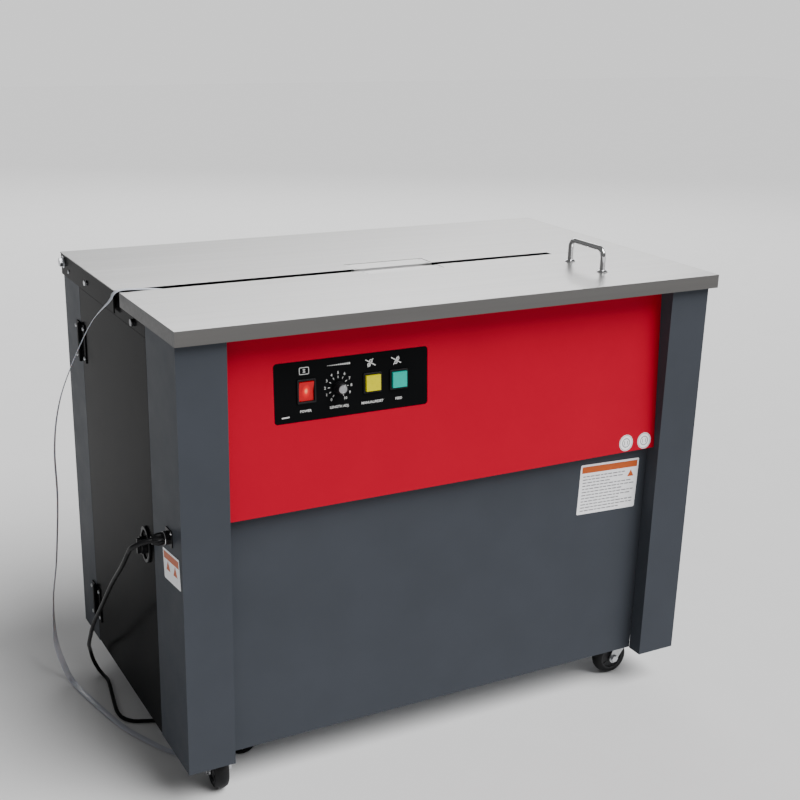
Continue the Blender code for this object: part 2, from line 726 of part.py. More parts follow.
def camshaft():
    """The shaft that lifts the press heads, with a round eccentric cam under each."""
    y, z = CAM_AXIS
    shaft = cylinder(0.0080, -0.0900, 0.1497, "X", (y, z), STEEL, "camshaft", sides=24)
    for start, end, phase in ((-0.0510, -0.0390, 150), (-0.0100, 0.0100, 240), (0.0390, 0.0510, 200)):
        angle = math.radians(phase)
        centre = (y + 0.0040 * math.cos(angle), z + 0.0040 * math.sin(angle))
        unite(shaft, cylinder(0.0150, start, end, "X", centre, sides=32))
    return put_origin(shaft, (0.0, y, z))


camshaft()


def heater_arm():
    """The arm that swings the heater blade between the two strap layers."""
    x, y = HEATER_PIVOT
    low, high = 0.7097, 0.7111
    hub = cylinder(0.0080, 0.6830, high, "Z", (x, y), STEEL, "heater_arm", sides=20)
    reach = math.radians(-149.4)
    turn = Matrix.Translation((x, y, (low + high) / 2)) @ Matrix.Rotation(reach, 4, "Z")
    arm_points = [(0.0, -0.006), (0.078, -0.005), (0.078, -0.017), (0.106, -0.017), (0.106, 0.017), (0.078, 0.017),
                  (0.078, 0.005), (0.0, 0.006)]
    unite(hub, outline_solid([arm_points], high - low, turn, STEEL, "heater_blade"))
    cut(hub, cylinder(0.0043, 0.66, 0.73, "Z", (x, y), sides=16))
    return put_origin(hub, (x, y, 0.6970))


heater_arm()


def strap_roller(name, radius, z, surface):
    """A roller between the head's plates, with its spindle through both."""
    roller = cylinder(radius, -0.0490, -0.0110, "Y", (ROLLER_X, z), surface, name, sides=28)
    unite(roller, cylinder(0.0040, -0.0610, 0.0010, "Y", (ROLLER_X, z), sides=16))
    return put_origin(roller, (ROLLER_X, SLOT_MIDDLE, z))


strap_roller("feed_roller", FEED_RADIUS, FEED_Z, RUBBER)
strap_roller("pinch_roller", PINCH_RADIUS, PINCH_Z, STEEL)


# Drive
def gearbox():
    """The reduction gearbox that hangs from the ladder frame, with its input shaft."""
    case = box((0.1500, -0.0750, 0.5600), (0.2350, 0.0450, 0.6400), CAST, "gearbox")
    unite(
        case,
        box((0.1650, -0.0945, 0.6390), (0.2200, 0.0745, 0.6497)),
        cylinder(0.0070, 0.2300, 0.2780, "X", (DRIVE_Y, GEARBOX_Z), sides=20),
    )
    return case


gearbox()


def motor():
    """The drive motor, hung from the gearbox on its bracket."""
    body = cylinder(0.0550, 0.0900, 0.2350, "X", (DRIVE_Y, MOTOR_Z), GREEN_PAINT, "motor", sides=32)
    unite(
        body,
        box((0.1250, -0.0450, 0.4400), (0.2000, 0.0150, 0.5597)),
        cylinder(0.0070, 0.2300, 0.2780, "X", (DRIVE_Y, MOTOR_Z), sides=20),
        cylinder(0.0500, 0.0700, 0.0920, "X", (DRIVE_Y, MOTOR_Z), sides=32),
    )
    return body


motor()

PULLEY_START, PULLEY_WIDTH, RIM = 0.2560, 0.0150, 0.0017


def pulley(name, groove, z):
    """A grooved pulley, bored for its shaft."""
    flange, bore, half = groove + 0.0035, 0.0073, PULLEY_WIDTH / 2
    profile = [(bore, half), (flange, half), (flange, half - RIM), (groove, half - RIM), (groove, RIM - half),
               (flange, RIM - half), (flange, -half), (bore, -half)]
    return turned(profile, "X", (PULLEY_START + half, DRIVE_Y, z), STEEL, name, steps=36)


pulley("gearbox_pulley", BELT_LARGE, GEARBOX_Z)
pulley("motor_pulley", BELT_SMALL, MOTOR_Z)


def belt_loop(extra):
    """The outline around both pulleys at a distance outside their grooves."""
    rise = GEARBOX_Z - MOTOR_Z
    lean = math.degrees(math.asin((BELT_LARGE - BELT_SMALL) / rise))
    upper = arc((DRIVE_Y, GEARBOX_Z), BELT_LARGE + extra, -lean, 180 + lean, 20)
    lower = arc((DRIVE_Y, MOTOR_Z), BELT_SMALL + extra, 180 + lean, 360 - lean, 12)
    return upper + lower


middle_of_belt = Matrix.Translation((PULLEY_START + PULLEY_WIDTH / 2, 0, 0))
outline_solid([belt_loop(0.0053), belt_loop(GAP)], 0.0105, middle_of_belt @ IN_YZ, RUBBER, "drive_belt")


def transformer():
    """The transformer that feeds the heater blade: a laminated core around its winding."""
    core = box((0.300, 0.110, BASE_HIGH + GAP), (0.370, 0.160, 0.1450), STEEL, "transformer")
    return unite(core, box((0.311, 0.098, 0.0960), (0.359, 0.172, 0.1340)))


transformer()


# Strap reel
def reel_stand():
    """The stand welded to the floor of the cabinet, with the reel's stub axle."""
    y, z = REEL_CENTRE
    stand = box((-0.2050, y - 0.060, BASE_HIGH + GAP), (-0.1970, y + 0.060, 0.3100), ZINC, "reel_stand")
    unite(
        stand,
        box((-0.2400, y - 0.060, BASE_HIGH + GAP), (-0.1500, y + 0.060, 0.0900)),
        cylinder(0.0100, -0.4200, -0.2000, "X", (y, z), sides=20),
    )
    return stand


reel_stand()

REEL_INNER, REEL_OUTER = -0.2190, -0.4020
DRUM = 0.0985
BORE = 0.0103
ROLL_HALF = 0.0880
ROLL_MIDDLE = (REEL_INNER - 0.0030 + REEL_OUTER + 0.0030) / 2


def reel_flanges():
    """The inner flange with its drum, and the outer flange with its hub nut."""
    centre_y, centre_z = REEL_CENTRE
    back, face = 0.0015, -0.0015
    drum_end = face - 0.1760
    inner_profile = [(BORE, back), (REEL_RADIUS, back), (REEL_RADIUS, face), (DRUM, face), (DRUM, drum_end),
                     (DRUM - 0.003, drum_end), (DRUM - 0.003, face), (0.018, face), (0.018, face - 0.030), (BORE, face - 0.030)]
    turned(inner_profile, "X", (REEL_INNER - 0.0015, centre_y, centre_z), FIBRE, "reel_inner_flange", steps=40)
    outer_profile = [(BORE, 0.0015), (REEL_RADIUS, 0.0015), (REEL_RADIUS, -0.0015), (0.022, -0.0015),
                     (0.022, -0.0120), (BORE, -0.0120)]
    turned(outer_profile, "X", (REEL_OUTER + 0.0015, centre_y, centre_z), FIBRE, "reel_outer_flange", steps=40)


reel_flanges()

ROLL_PROFILE = [(DRUM + GAP, ROLL_HALF), (0.1440, ROLL_HALF), (0.1440, -ROLL_HALF), (DRUM + GAP, -ROLL_HALF)]
turned(ROLL_PROFILE, "X", (ROLL_MIDDLE, *REEL_CENTRE), STRAP_WHITE, "strap_roll", steps=40)


# Castors
def castor_frame(place):
    x, y, heading = place
    return Matrix.Translation((x, y, 0)) @ Matrix.Rotation(heading, 4, "Z")


IN_XZ = Matrix(((1, 0, 0, 0), (0, 0, -1, 0), (0, 1, 0, 0), (0, 0, 0, 1)))


def castor_fork(name, place):
    """A swivel fork: race, bridge, two cheeks and the wheel's axle. Local +X is the way the wheel trails."""
    frame = castor_frame(place)
    race = cylinder(0.0210, 0.0680, BASE_LOW - 0.0032 - GAP, "Z", (0, 0), ZINC, name, sides=24)
    race.matrix_world = frame @ race.matrix_world
    bridge = box((-0.0140, -0.0160, 0.0660), (0.0180, 0.0160, 0.0690))
    bridge.matrix_world = frame @ bridge.matrix_world
    axle = cylinder(0.0040, -0.0175, 0.0175, "Y", (TRAIL, WHEEL_RADIUS), sides=16)
    axle.matrix_world = frame @ axle.matrix_world
    pieces = [bridge, axle]
    cheek = arc((TRAIL, WHEEL_RADIUS), 0.0090, -180, 0, 6) + [(0.0177, 0.0687), (-0.0137, 0.0687)]
    for side in (-0.01475, 0.01475):
        cheek_frame = frame @ Matrix.Translation((0, side, 0)) @ IN_XZ
        pieces.append(outline_solid([cheek], 0.0025, cheek_frame, ZINC, "cheek"))
    return unite(race, *pieces)


WHEEL_PROFILE = [(0.0043, 0.0110), (0.0220, 0.0110), (0.0285, 0.0095), (0.0309, 0.0060), (WHEEL_RADIUS, 0.0),
                 (0.0309, -0.0060), (0.0285, -0.0095), (0.0220, -0.0110), (0.0043, -0.0110)]

for corner, where in CASTORS.items():
    castor_fork("castor_fork_" + corner, where)
    wheel = turned(WHEEL_PROFILE, "Z", (0, 0, 0), TYRE, "castor_wheel_" + corner, steps=28)
    wheel.matrix_world = (castor_frame(where) @ Matrix.Translation((TRAIL, 0, WHEEL_RADIUS))
                          @ Matrix.Rotation(-math.pi / 2, 4, "X"))


# Mains lead: from the gland down past the door, over the floor and under the cabinet to its coil
COIL_CENTRE = (-0.170, 0.060)
COIL_INNER, COIL_OUTER, COIL_HEIGHT = 0.0330, 0.0470, 0.0132
CORD_ROUTE = [
    (-0.4694, -0.2130, 0.4150), (-0.4712, -0.2130, 0.4150), (-0.4775, -0.2125, 0.4144),
    (-0.4843, -0.2106, 0.4125), (-0.4900, -0.2074, 0.4092), (-0.4943, -0.2033, 0.4050),
    (-0.4968, -0.1986, 0.4001), (-0.4995, -0.1697, 0.3654), (-0.4995, -0.1086, 0.3097),
    (-0.4965, -0.0357, 0.2411), (-0.4900, 0.0454, 0.1713), (-0.4805, 0.1118, 0.1115), (-0.4735, 0.1500, 0.0790),
    (-0.4670, 0.1740, 0.0600), (-0.4620, 0.1890, 0.0450), (-0.4585, 0.1955, 0.0300), (-0.4550, 0.1945, 0.0180),
    (-0.4510, 0.1860, 0.0080), (-0.4475, 0.1710, 0.0036), (-0.4453, 0.1478, 0.0034), (-0.4518, 0.1049, 0.0034),
    (-0.4585, 0.0641, 0.0034), (-0.4610, 0.0400, 0.0034), (-0.4575, 0.0190, 0.0034), (-0.4460, 0.0040, 0.0034),
    (-0.4280, -0.0045, 0.0034), (-0.4080, -0.0150, 0.0034), (-0.3800, -0.0480, 0.0034),
    (-0.3600, -0.0980, 0.0034), (-0.3450, -0.1370, 0.0034), (-0.3200, -0.1560, 0.0034),
    (-0.2930, -0.1370, 0.0034), (-0.2700, -0.0900, 0.0034), (-0.2400, -0.0290, 0.0034),
    (-0.2050, 0.0020, 0.0034), (-0.1700, 0.0090, 0.0034),
]
CORD_ROUTE[-1] = (COIL_CENTRE[0], COIL_CENTRE[1] - COIL_OUTER - CORD_RADIUS - GAP, CORD_RADIUS + 0.0001)
tube(smooth_route(CORD_ROUTE, 74, CORD_RADIUS), CORD_RADIUS, BLACK_PLASTIC, "power_cord", resolution=2)

COIL_PROFILE = [(COIL_INNER, COIL_HEIGHT), (COIL_OUTER, COIL_HEIGHT), (COIL_OUTER, 0.0001), (COIL_INNER, 0.0001)]
turned(COIL_PROFILE, "Z", (*COIL_CENTRE, 0.0), BLACK_PLASTIC, "power_cord_coil", steps=32)


def power_plug():
    """A plain three-pin mains plug on the end of the lead, past the coil's last turn."""
    x, y = COIL_CENTRE[0] + 0.0438, COIL_CENTRE[1] + 0.0520
    body = box((x - 0.0150, y, 0.0002), (x + 0.0150, y + 0.0400, 0.0280), BLACK_PLASTIC, "power_plug")
    for side, height in ((-0.0080, 0.0090), (0.0080, 0.0090), (0.0, 0.0200)):
        unite(body, cylinder(0.0024, y + 0.0380, y + 0.0560, "Y", (x + side, height), sides=12))
    return body


power_plug()

# Strap tail: out of the slot, over the table's left end, down to the floor and under the cabinet
STRAP_ROUTE = [
    (-0.2900, SLOT_MIDDLE, 0.6960), (-0.3260, SLOT_MIDDLE, 0.7060), (-0.3620, SLOT_MIDDLE, 0.7150),
    (-0.3900, SLOT_MIDDLE, 0.7205), (-0.4250, SLOT_MIDDLE, 0.7236), (-0.4450, SLOT_MIDDLE, 0.7234),
    (-0.4535, SLOT_MIDDLE, 0.7190), (-0.4590, -0.0290, 0.7090), (-0.4860, -0.0200, 0.6750), (-0.5170, 0.0000, 0.5990),
    (-0.5300, 0.0200, 0.5410), (-0.5330, 0.0450, 0.4710), (-0.5280, 0.0700, 0.3790), (-0.5270, 0.1100, 0.2620),
    (-0.5280, 0.1480, 0.1730), (-0.5220, 0.1780, 0.0830), (-0.5080, 0.1860, 0.0250), (-0.4990, 0.1640, 0.0031),
    (-0.4850, 0.0820, 0.0031), (-0.4665, -0.0020, 0.0031), (-0.4430, -0.0620, 0.0031), (-0.4200, -0.1080, 0.0031),
    (-0.4020, -0.1260, 0.0031), (-0.3820, -0.1300, 0.0031), (-0.3620, -0.1240, 0.0031),
]
tube(smooth_route(STRAP_ROUTE, 76, STRAP_RADIUS), STRAP_RADIUS, STRAP_WHITE, "strap_tail", resolution=2)
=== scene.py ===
"""Looks for the semi automatic strapping machine: materials, small hardware, labels, cords and studio."""

import json
import math

import bmesh
import bpy
from mathutils import Matrix, Vector

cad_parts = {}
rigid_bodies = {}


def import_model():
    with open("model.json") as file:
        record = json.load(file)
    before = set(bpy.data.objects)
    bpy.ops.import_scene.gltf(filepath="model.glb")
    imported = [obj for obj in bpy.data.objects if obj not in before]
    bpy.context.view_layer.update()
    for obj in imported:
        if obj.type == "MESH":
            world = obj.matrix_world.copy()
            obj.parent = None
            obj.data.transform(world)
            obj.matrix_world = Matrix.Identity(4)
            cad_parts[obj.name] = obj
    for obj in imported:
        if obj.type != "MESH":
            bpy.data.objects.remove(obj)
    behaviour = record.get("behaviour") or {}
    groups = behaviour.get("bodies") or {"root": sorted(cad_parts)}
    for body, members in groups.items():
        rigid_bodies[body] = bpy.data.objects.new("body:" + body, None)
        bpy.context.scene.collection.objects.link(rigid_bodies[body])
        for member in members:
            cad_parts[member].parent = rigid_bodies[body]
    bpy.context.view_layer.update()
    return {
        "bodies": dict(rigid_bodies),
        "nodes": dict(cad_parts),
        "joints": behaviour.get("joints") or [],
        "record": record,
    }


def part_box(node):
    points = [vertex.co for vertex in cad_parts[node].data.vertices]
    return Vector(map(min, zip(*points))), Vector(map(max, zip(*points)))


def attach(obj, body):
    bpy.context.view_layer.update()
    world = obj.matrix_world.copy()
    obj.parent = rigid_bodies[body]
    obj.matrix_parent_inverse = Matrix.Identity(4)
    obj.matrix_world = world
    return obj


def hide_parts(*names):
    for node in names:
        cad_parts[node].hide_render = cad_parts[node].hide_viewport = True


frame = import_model()
NODES = frame["nodes"]

GREY_SLOT, RED_SLOT, DARK_SLOT = "blue_grey_paint", "red_paint", "dark_grey_gloss_paint"


# Camera at the photograph's place
def make_camera():
    azimuth, elevation, roll, distance = (math.radians(-29.194), math.radians(19.494), math.radians(1.579), 2.2041)
    back = Vector((math.sin(azimuth) * math.cos(elevation), -math.cos(azimuth) * math.cos(elevation),
                   math.sin(elevation)))
    right = (-back).cross(Vector((0, 0, 1))).normalized()
    down = (-back).cross(right)
    across = math.cos(roll) * right - math.sin(roll) * down
    below = math.sin(roll) * right + math.cos(roll) * down
    data = bpy.data.cameras.new("camera")
    camera = bpy.data.objects.new("camera", data)
    bpy.context.scene.collection.objects.link(camera)
    place = Matrix((across, -below, back)).transposed().to_4x4()
    place.translation = Vector((0.0509, 0.0, 0.4182)) + back * distance
    camera.matrix_world = place
    data.lens = 58.73
    data.sensor_width = 36.0
    data.shift_x = -0.0124
    data.shift_y = 0.0479
    bpy.context.scene.camera = camera


make_camera()


# Materials
DUST_COLOUR = (0.42, 0.40, 0.37, 1)


def node(tree, kind, **inputs):
    made = tree.nodes.new(kind)
    for key, value in inputs.items():
        made.inputs[key.replace("_", " ")].default_value = value
    return made


def maths(tree, operation, one, two):
    """A Math node on a socket and a second socket or number."""
    made = tree.nodes.new("ShaderNodeMath")
    made.operation = operation
    tree.links.new(one, made.inputs[0])
    if isinstance(two, (int, float)):
        made.inputs[1].default_value = two
    elif two is not None:
        tree.links.new(two, made.inputs[1])
    return made


def remap(tree, value, low, high, to_low=0.0, to_high=1.0):
    """A clamped range of a socket's value, stretched to a new range."""
    made = tree.nodes.new("ShaderNodeMapRange")
    for key, number in (("From Min", low), ("From Max", high), ("To Min", to_low), ("To Max", to_high)):
        made.inputs[key].default_value = number
    tree.links.new(value, made.inputs["Value"])
    return made.outputs[0]


def mixed(tree, factor, one, two, blend="MIX"):
    """A colour Mix node. Each of the three inputs is a socket or a fixed value."""
    made = tree.nodes.new("ShaderNodeMix")
    made.data_type = "RGBA"
    made.blend_type = blend
    for socket, value in zip((made.inputs[0], made.inputs[6], made.inputs[7]), (factor, one, two)):
        if isinstance(value, (int, float, tuple)):
            socket.default_value = value
        else:
            tree.links.new(value, socket)
    return made.outputs[2]


def shader(name, colour, roughness, metallic=0.0, mottle=0.06, mottle_scale=9.0, spread=0.05, grain=900.0,
           depth=0.00004, stretch=(1.0, 1.0, 1.0), coat=0.0, dust=0.0, sheen=0.0, specular=None):
    """A painted, moulded or metal surface: colour mottling, uneven roughness, a fine grain and settled dust."""
    material = bpy.data.materials.new(name)
    material.use_nodes = True
    tree = material.node_tree
    link = tree.links.new
    principled = tree.nodes["Principled BSDF"]
    principled.inputs["Metallic"].default_value = metallic
    principled.inputs["Coat Weight"].default_value = coat
    principled.inputs["Coat Roughness"].default_value = 0.12
    principled.inputs["Sheen Weight"].default_value = sheen
    if specular is not None:
        principled.inputs["Specular IOR Level"].default_value = specular
    place = tree.nodes.new("ShaderNodeTexCoord")
    mapping = node(tree, "ShaderNodeMapping", Scale=stretch)
    link(place.outputs["Object"], mapping.inputs["Vector"])
    broad = node(tree, "ShaderNodeTexNoise", Scale=mottle_scale, Detail=5.0, Roughness=0.6)
    link(mapping.outputs[0], broad.inputs["Vector"])
    tone = tree.nodes.new("ShaderNodeValToRGB")
    tone.color_ramp.elements[0].position = 0.30
    tone.color_ramp.elements[1].position = 0.70
    tone.color_ramp.elements[0].color = (*[channel * (1 - mottle) for channel in colour], 1)
    tone.color_ramp.elements[1].color = (*[min(channel * (1 + mottle), 1.0) for channel in colour], 1)
    link(broad.outputs[0], tone.inputs[0])
    shade = tone.outputs[0]
    if dust:
        facing = tree.nodes.new("ShaderNodeNewGeometry")
        up = tree.nodes.new("ShaderNodeSeparateXYZ")
        link(facing.outputs["Normal"], up.inputs[0])
        speck = node(tree, "ShaderNodeTexNoise", Scale=140.0, Detail=6.0)
        link(place.outputs["Object"], speck.inputs["Vector"])
        amount = maths(tree, "MULTIPLY", up.outputs["Z"], speck.outputs[0])
        amount.use_clamp = True
        scaled = maths(tree, "MULTIPLY", amount.outputs[0], dust)
        shade = mixed(tree, scaled.outputs[0], shade, DUST_COLOUR)
    link(shade, principled.inputs["Base Color"])
    smudge = node(tree, "ShaderNodeTexNoise", Scale=mottle_scale * 3.1, Detail=6.0, Roughness=0.65)
    link(mapping.outputs[0], smudge.inputs["Vector"])
    polish = remap(tree, smudge.outputs[0], 0.25, 0.75, max(roughness - spread, 0.02), min(roughness + spread, 1.0))
    link(polish, principled.inputs["Roughness"])
    fine = node(tree, "ShaderNodeTexNoise", Scale=grain, Detail=3.0)
    link(mapping.outputs[0], fine.inputs["Vector"])
    bump = node(tree, "ShaderNodeBump", Strength=0.6, Distance=depth)
    link(fine.outputs[0], bump.inputs["Height"])
    link(bump.outputs[0], principled.inputs["Normal"])
    return material


GREY = shader("grey_powder_coat", (0.053, 0.059, 0.070), 0.40, mottle=0.05, grain=1300.0, depth=0.00005, dust=0.15,
              specular=0.03)
# Dark grey gloss paint, its colour taken down to near black as painted shade for the unlit left side
DARK = shader("dark_gloss_coat_and_painted_shade", (0.006, 0.0061, 0.0066), 0.20, mottle=0.08, spread=0.03, grain=700.0, depth=0.00002,
              specular=0.009)
RED = shader("red_powder_coat", (0.45, 0.0002, 0.020), 0.45, mottle=0.03, grain=1300.0, depth=0.00005, specular=0.06)
STAINLESS = shader("brushed_stainless", (0.66, 0.655, 0.65), 0.36, metallic=1.0, mottle=0.05, mottle_scale=3.0,
                   spread=0.06, grain=60.0, depth=0.00003, stretch=(0.35, 26.0, 26.0))


SLOT_Y = -0.030


def table_steel():
    """Brushed stainless: bright and finely lined on top, darker on the folded skirt. The skirt's darkness, the dark
    slot walls and the top's falloff towards the rear left are painted shade.
    """
    material = shader("table_stainless", (0.60, 0.595, 0.59), 0.34, metallic=1.0, mottle=0.05, mottle_scale=3.0,
                      spread=0.05, grain=70.0, depth=0.000012, stretch=(0.35, 22.0, 22.0))
    tree = material.node_tree
    link = tree.links.new
    principled = tree.nodes["Principled BSDF"]
    shade = principled.inputs["Base Color"].links[0].from_socket
    facing_node = tree.nodes.new("ShaderNodeNewGeometry")
    parts = tree.nodes.new("ShaderNodeSeparateXYZ")
    link(facing_node.outputs["Normal"], parts.inputs[0])
    place = tree.nodes.new("ShaderNodeTexCoord")
    where = tree.nodes.new("ShaderNodeSeparateXYZ")
    link(place.outputs["Object"], where.inputs[0])
    # The folded skirt: darker than the top, and darkest on the left end, as painted shade and painted dark reflection
    side = mixed(tree, 1.0, shade, (0.26, 0.255, 0.25, 1), "MULTIPLY")
    ends = remap(tree, parts.outputs["X"], -0.9, -0.4)
    skirt = mixed(tree, ends, (0.012, 0.011, 0.011, 1), side)
    # The top: a painted falloff of light, darker towards the rear left corner
    across = maths(tree, "SUBTRACT", where.outputs["X"], where.outputs["Y"])
    fall = remap(tree, across.outputs[0], -0.70, 0.12, 0.42)
    top_painted_falloff = mixed(tree, 1.0, shade, fall, "MULTIPLY")
    # The walls of the strap slot, told apart by their distance from its middle line, painted near black as shade
    middle = maths(tree, "ADD", where.outputs["Y"], -SLOT_Y)
    reach = maths(tree, "ABSOLUTE", middle.outputs[0], None)
    slot = remap(tree, reach.outputs[0], 0.014, 0.020)
    walls = mixed(tree, slot, (0.006, 0.006, 0.006, 1), skirt)
    level = remap(tree, parts.outputs["Z"], 0.55, 0.95)
    link(mixed(tree, level, walls, top_painted_falloff), principled.inputs["Base Color"])
    return material


TABLE_STEEL = table_steel()
CHROME = shader("chrome_plating", (0.78, 0.78, 0.79), 0.08, metallic=1.0, mottle=0.03, spread=0.03, depth=0.000005)
ZINC = shader("zinc_plating", (0.52, 0.53, 0.55), 0.33, metallic=1.0, mottle=0.10, mottle_scale=60.0, spread=0.08)
GUNMETAL = shader("dark_bolt", (0.10, 0.10, 0.105), 0.30, metallic=1.0, mottle=0.10, mottle_scale=90.0)
STEEL = shader("machined_steel", (0.42, 0.42, 0.43), 0.30, metallic=1.0, mottle=0.08, mottle_scale=40.0,
               grain=120.0, stretch=(12.0, 1.0, 1.0), depth=0.00003)
CAST = shader("cast_aluminium", (0.46, 0.46, 0.47), 0.52, metallic=1.0, mottle=0.10, grain=1100.0, depth=0.00025)
MOTOR_BLUE = shader("motor_enamel", (0.03, 0.07, 0.12), 0.38, mottle=0.12, grain=800.0, depth=0.00012)
BLACK = shader("black_plastic", (0.008, 0.008, 0.009), 0.36, mottle=0.15, grain=1500.0, depth=0.00004, specular=0.18)
PLATE_BLACK = shader("panel_film", (0.0035, 0.0038, 0.0042), 0.34, mottle=0.10, grain=1800.0, depth=0.00002,
                     specular=0.03)
PVC = shader("cord_pvc", (0.006, 0.006, 0.0065), 0.34, mottle=0.15, mottle_scale=40.0, grain=700.0, depth=0.00003,
             specular=0.08)
TYRE = shader("tyre_rubber", (0.010, 0.010, 0.011), 0.50, mottle=0.20, mottle_scale=60.0, grain=900.0, depth=0.0001,
              dust=0.08, specular=0.15)
RUBBER = shader("belt_rubber", (0.014, 0.014, 0.014), 0.70, mottle=0.20, grain=500.0, depth=0.0001)
HUB = shader("hub_plastic", (0.030, 0.030, 0.032), 0.40, mottle=0.06, mottle_scale=50.0, specular=0.2)
FIBRE = shader("reel_plate", (0.20, 0.21, 0.23), 0.40, metallic=0.8, mottle=0.10, mottle_scale=12.0)
PCB = shader("solder_resist", (0.012, 0.10, 0.035), 0.35, mottle=0.20, mottle_scale=120.0, coat=0.3)
COPPER = shader("copper_winding", (0.50, 0.20, 0.07), 0.30, metallic=1.0, mottle=0.10, stretch=(1.0, 1.0, 90.0))
PAPER = shader("label_film", (0.95, 0.95, 0.97), 0.42, mottle=0.015, mottle_scale=60.0, specular=0.2)
ORANGE = shader("label_orange", (0.52, 0.10, 0.018), 0.38, mottle=0.05, mottle_scale=90.0, specular=0.2)
INK = shader("label_ink", (0.22, 0.22, 0.23), 0.40, mottle=0.15, mottle_scale=200.0)
PRINT = shader("panel_print", (0.66, 0.66, 0.65), 0.45, mottle=0.06, mottle_scale=300.0)


def lens(name, colour, glow):
    """A push button lens: saturated moulded plastic with a faint even painted glow."""
    material = shader(name, colour, 0.30, mottle=0.06, mottle_scale=220.0, grain=1200.0, depth=0.00008, specular=0.12)
    principled = material.node_tree.nodes["Principled BSDF"]
    principled.inputs["Emission Color"].default_value = (*colour, 1)
    principled.inputs["Emission Strength"].default_value = glow
    return material


# Both lenses glow with painted light
YELLOW = lens("yellow_lens", (0.62, 0.56, 0.0), 0.10)
GREEN = lens("green_lens", (0.0, 0.40, 0.32), 0.10)
DARK_HOLE = shader("shadow_black", (0.004, 0.004, 0.004), 0.8, mottle=0.2)


def strap_material():
    """White polypropylene strap with its rolled diamond pattern, laid out along the strap; its colour is painted down
    to grey as shade.
    """
    # The white strap's colour is taken down to grey: painted shade
    material = shader("strap_white", (0.58, 0.59, 0.66), 0.33, mottle=0.03, mottle_scale=30.0, depth=0.00002)
    tree = material.node_tree
    link = tree.links.new
    principled = tree.nodes["Principled BSDF"]
    principled.inputs["Subsurface Weight"].default_value = 0.08
    place = tree.nodes.new("ShaderNodeTexCoord")
    waves = []
    for angle in (0.7, -0.7):
        turn = node(tree, "ShaderNodeMapping", Rotation=(0.0, 0.0, angle))
        link(place.outputs["UV"], turn.inputs["Vector"])
        wave = node(tree, "ShaderNodeTexWave", Scale=90.0)
        link(turn.outputs[0], wave.inputs["Vector"])
        waves.append(wave)
    both = maths(tree, "MULTIPLY", waves[0].outputs["Fac"], waves[1].outputs["Fac"])
    bump = node(tree, "ShaderNodeBump", Strength=0.5, Distance=0.00015)
    link(both.outputs[0], bump.inputs["Height"])
    link(bump.outputs[0], principled.inputs["Normal"])
    return material


STRAP = strap_material()
WOUND = shader("wound_strap_white", (0.56, 0.57, 0.63), 0.36, mottle=0.05, mottle_scale=25.0, grain=420.0,
               depth=0.0001, stretch=(1.0, 0.3, 0.3), dust=0.1)
BRASS = shader("brass_plug", (0.55, 0.38, 0.12), 0.30, metallic=1.0, mottle=0.08, mottle_scale=60.0)


def lit_lens():
    """The rocker's red lens, glowing from the lamp in its middle, with a painted yellow-white highlight at the centre
    of the glow.
    """
    material = shader("lit_red_lens", (0.50, 0.001, 0.006), 0.22, mottle=0.05, mottle_scale=150.0, specular=0.25)
    tree = material.node_tree
    link = tree.links.new
    principled = tree.nodes["Principled BSDF"]
    low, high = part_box("power_rocker")
    middle = (Vector(low) + Vector(high)) / 2
    place = tree.nodes.new("ShaderNodeTexCoord")
    scale = (150.0, 20.0, 90.0)
    shift = node(tree, "ShaderNodeMapping", Location=[-s * c for s, c in zip(scale, middle)], Scale=scale)
    link(place.outputs["Object"], shift.inputs["Vector"])
    glow = tree.nodes.new("ShaderNodeTexGradient")
    glow.gradient_type = "SPHERICAL"
    link(shift.outputs[0], glow.inputs[0])
    ramp = tree.nodes.new("ShaderNodeValToRGB")
    ramp.color_ramp.elements[0].color = (0.05, 0.0, 0.001, 1)
    # The yellow-white centre colour is a painted highlight
    ramp.color_ramp.elements[1].color = (1.0, 0.60, 0.25, 1)
    ramp.color_ramp.elements.new(0.55).color = (0.45, 0.004, 0.004, 1)
    link(glow.outputs[0], ramp.inputs[0])
    link(ramp.outputs[0], principled.inputs["Emission Color"])
    principled.inputs["Emission Strength"].default_value = 1.1
    return material


LIT_RED = lit_lens()

CAD_MATERIALS = {
    GREY: ["column_front_left", "column_front_right", "column_rear_left", "column_rear_right", "lower_front_panel",
           "rear_panel", "right_side_panel"],
    RED: ["red_front_panel"],
    DARK: ["left_door", "table_pivot_plate_left", "table_pivot_plate_right", "upper_hinge", "lower_hinge",
           "head_support_frame"],
    TABLE_STEEL: ["table_top"],
    STAINLESS: ["head_cover_front", "head_cover_rear"],
    PLATE_BLACK: ["control_plate"],
    LIT_RED: ["power_rocker"],
    YELLOW: ["reset_button"],
    GREEN: ["feed_button"],
    BLACK: ["length_dial", "power_plug", "door_latch", "cable_gland"],
    ZINC: ["base_pan", "reel_stand", "table_pivot_bolt_left", "table_pivot_bolt_right"],
    STEEL: ["head_frame", "slide_plate", "left_gripper", "press_head", "right_gripper", "camshaft", "heater_arm",
            "pinch_roller", "gearbox_pulley", "motor_pulley", "transformer"],
    RUBBER: ["feed_roller", "drive_belt"],
    CAST: ["gearbox"],
    MOTOR_BLUE: ["motor"],
    PCB: ["control_board"],
    FIBRE: ["reel_inner_flange", "reel_outer_flange"],
    STRAP: ["strap_roll", "strap_tail"],
    PVC: ["power_cord", "power_cord_coil"],
    TYRE: [name for name in NODES if name.startswith("castor_wheel")],
}
for surface, names in CAD_MATERIALS.items():
    for name in names:
        NODES[name].data.materials.clear()
        NODES[name].data.materials.append(surface)
FORK = shader("fork_zinc", (0.46, 0.47, 0.48), 0.36, metallic=1.0, mottle=0.12, mottle_scale=80.0, spread=0.1)
for name in NODES:
    if name.startswith("castor_fork"):
        NODES[name].data.materials.clear()
        NODES[name].data.materials.append(FORK)


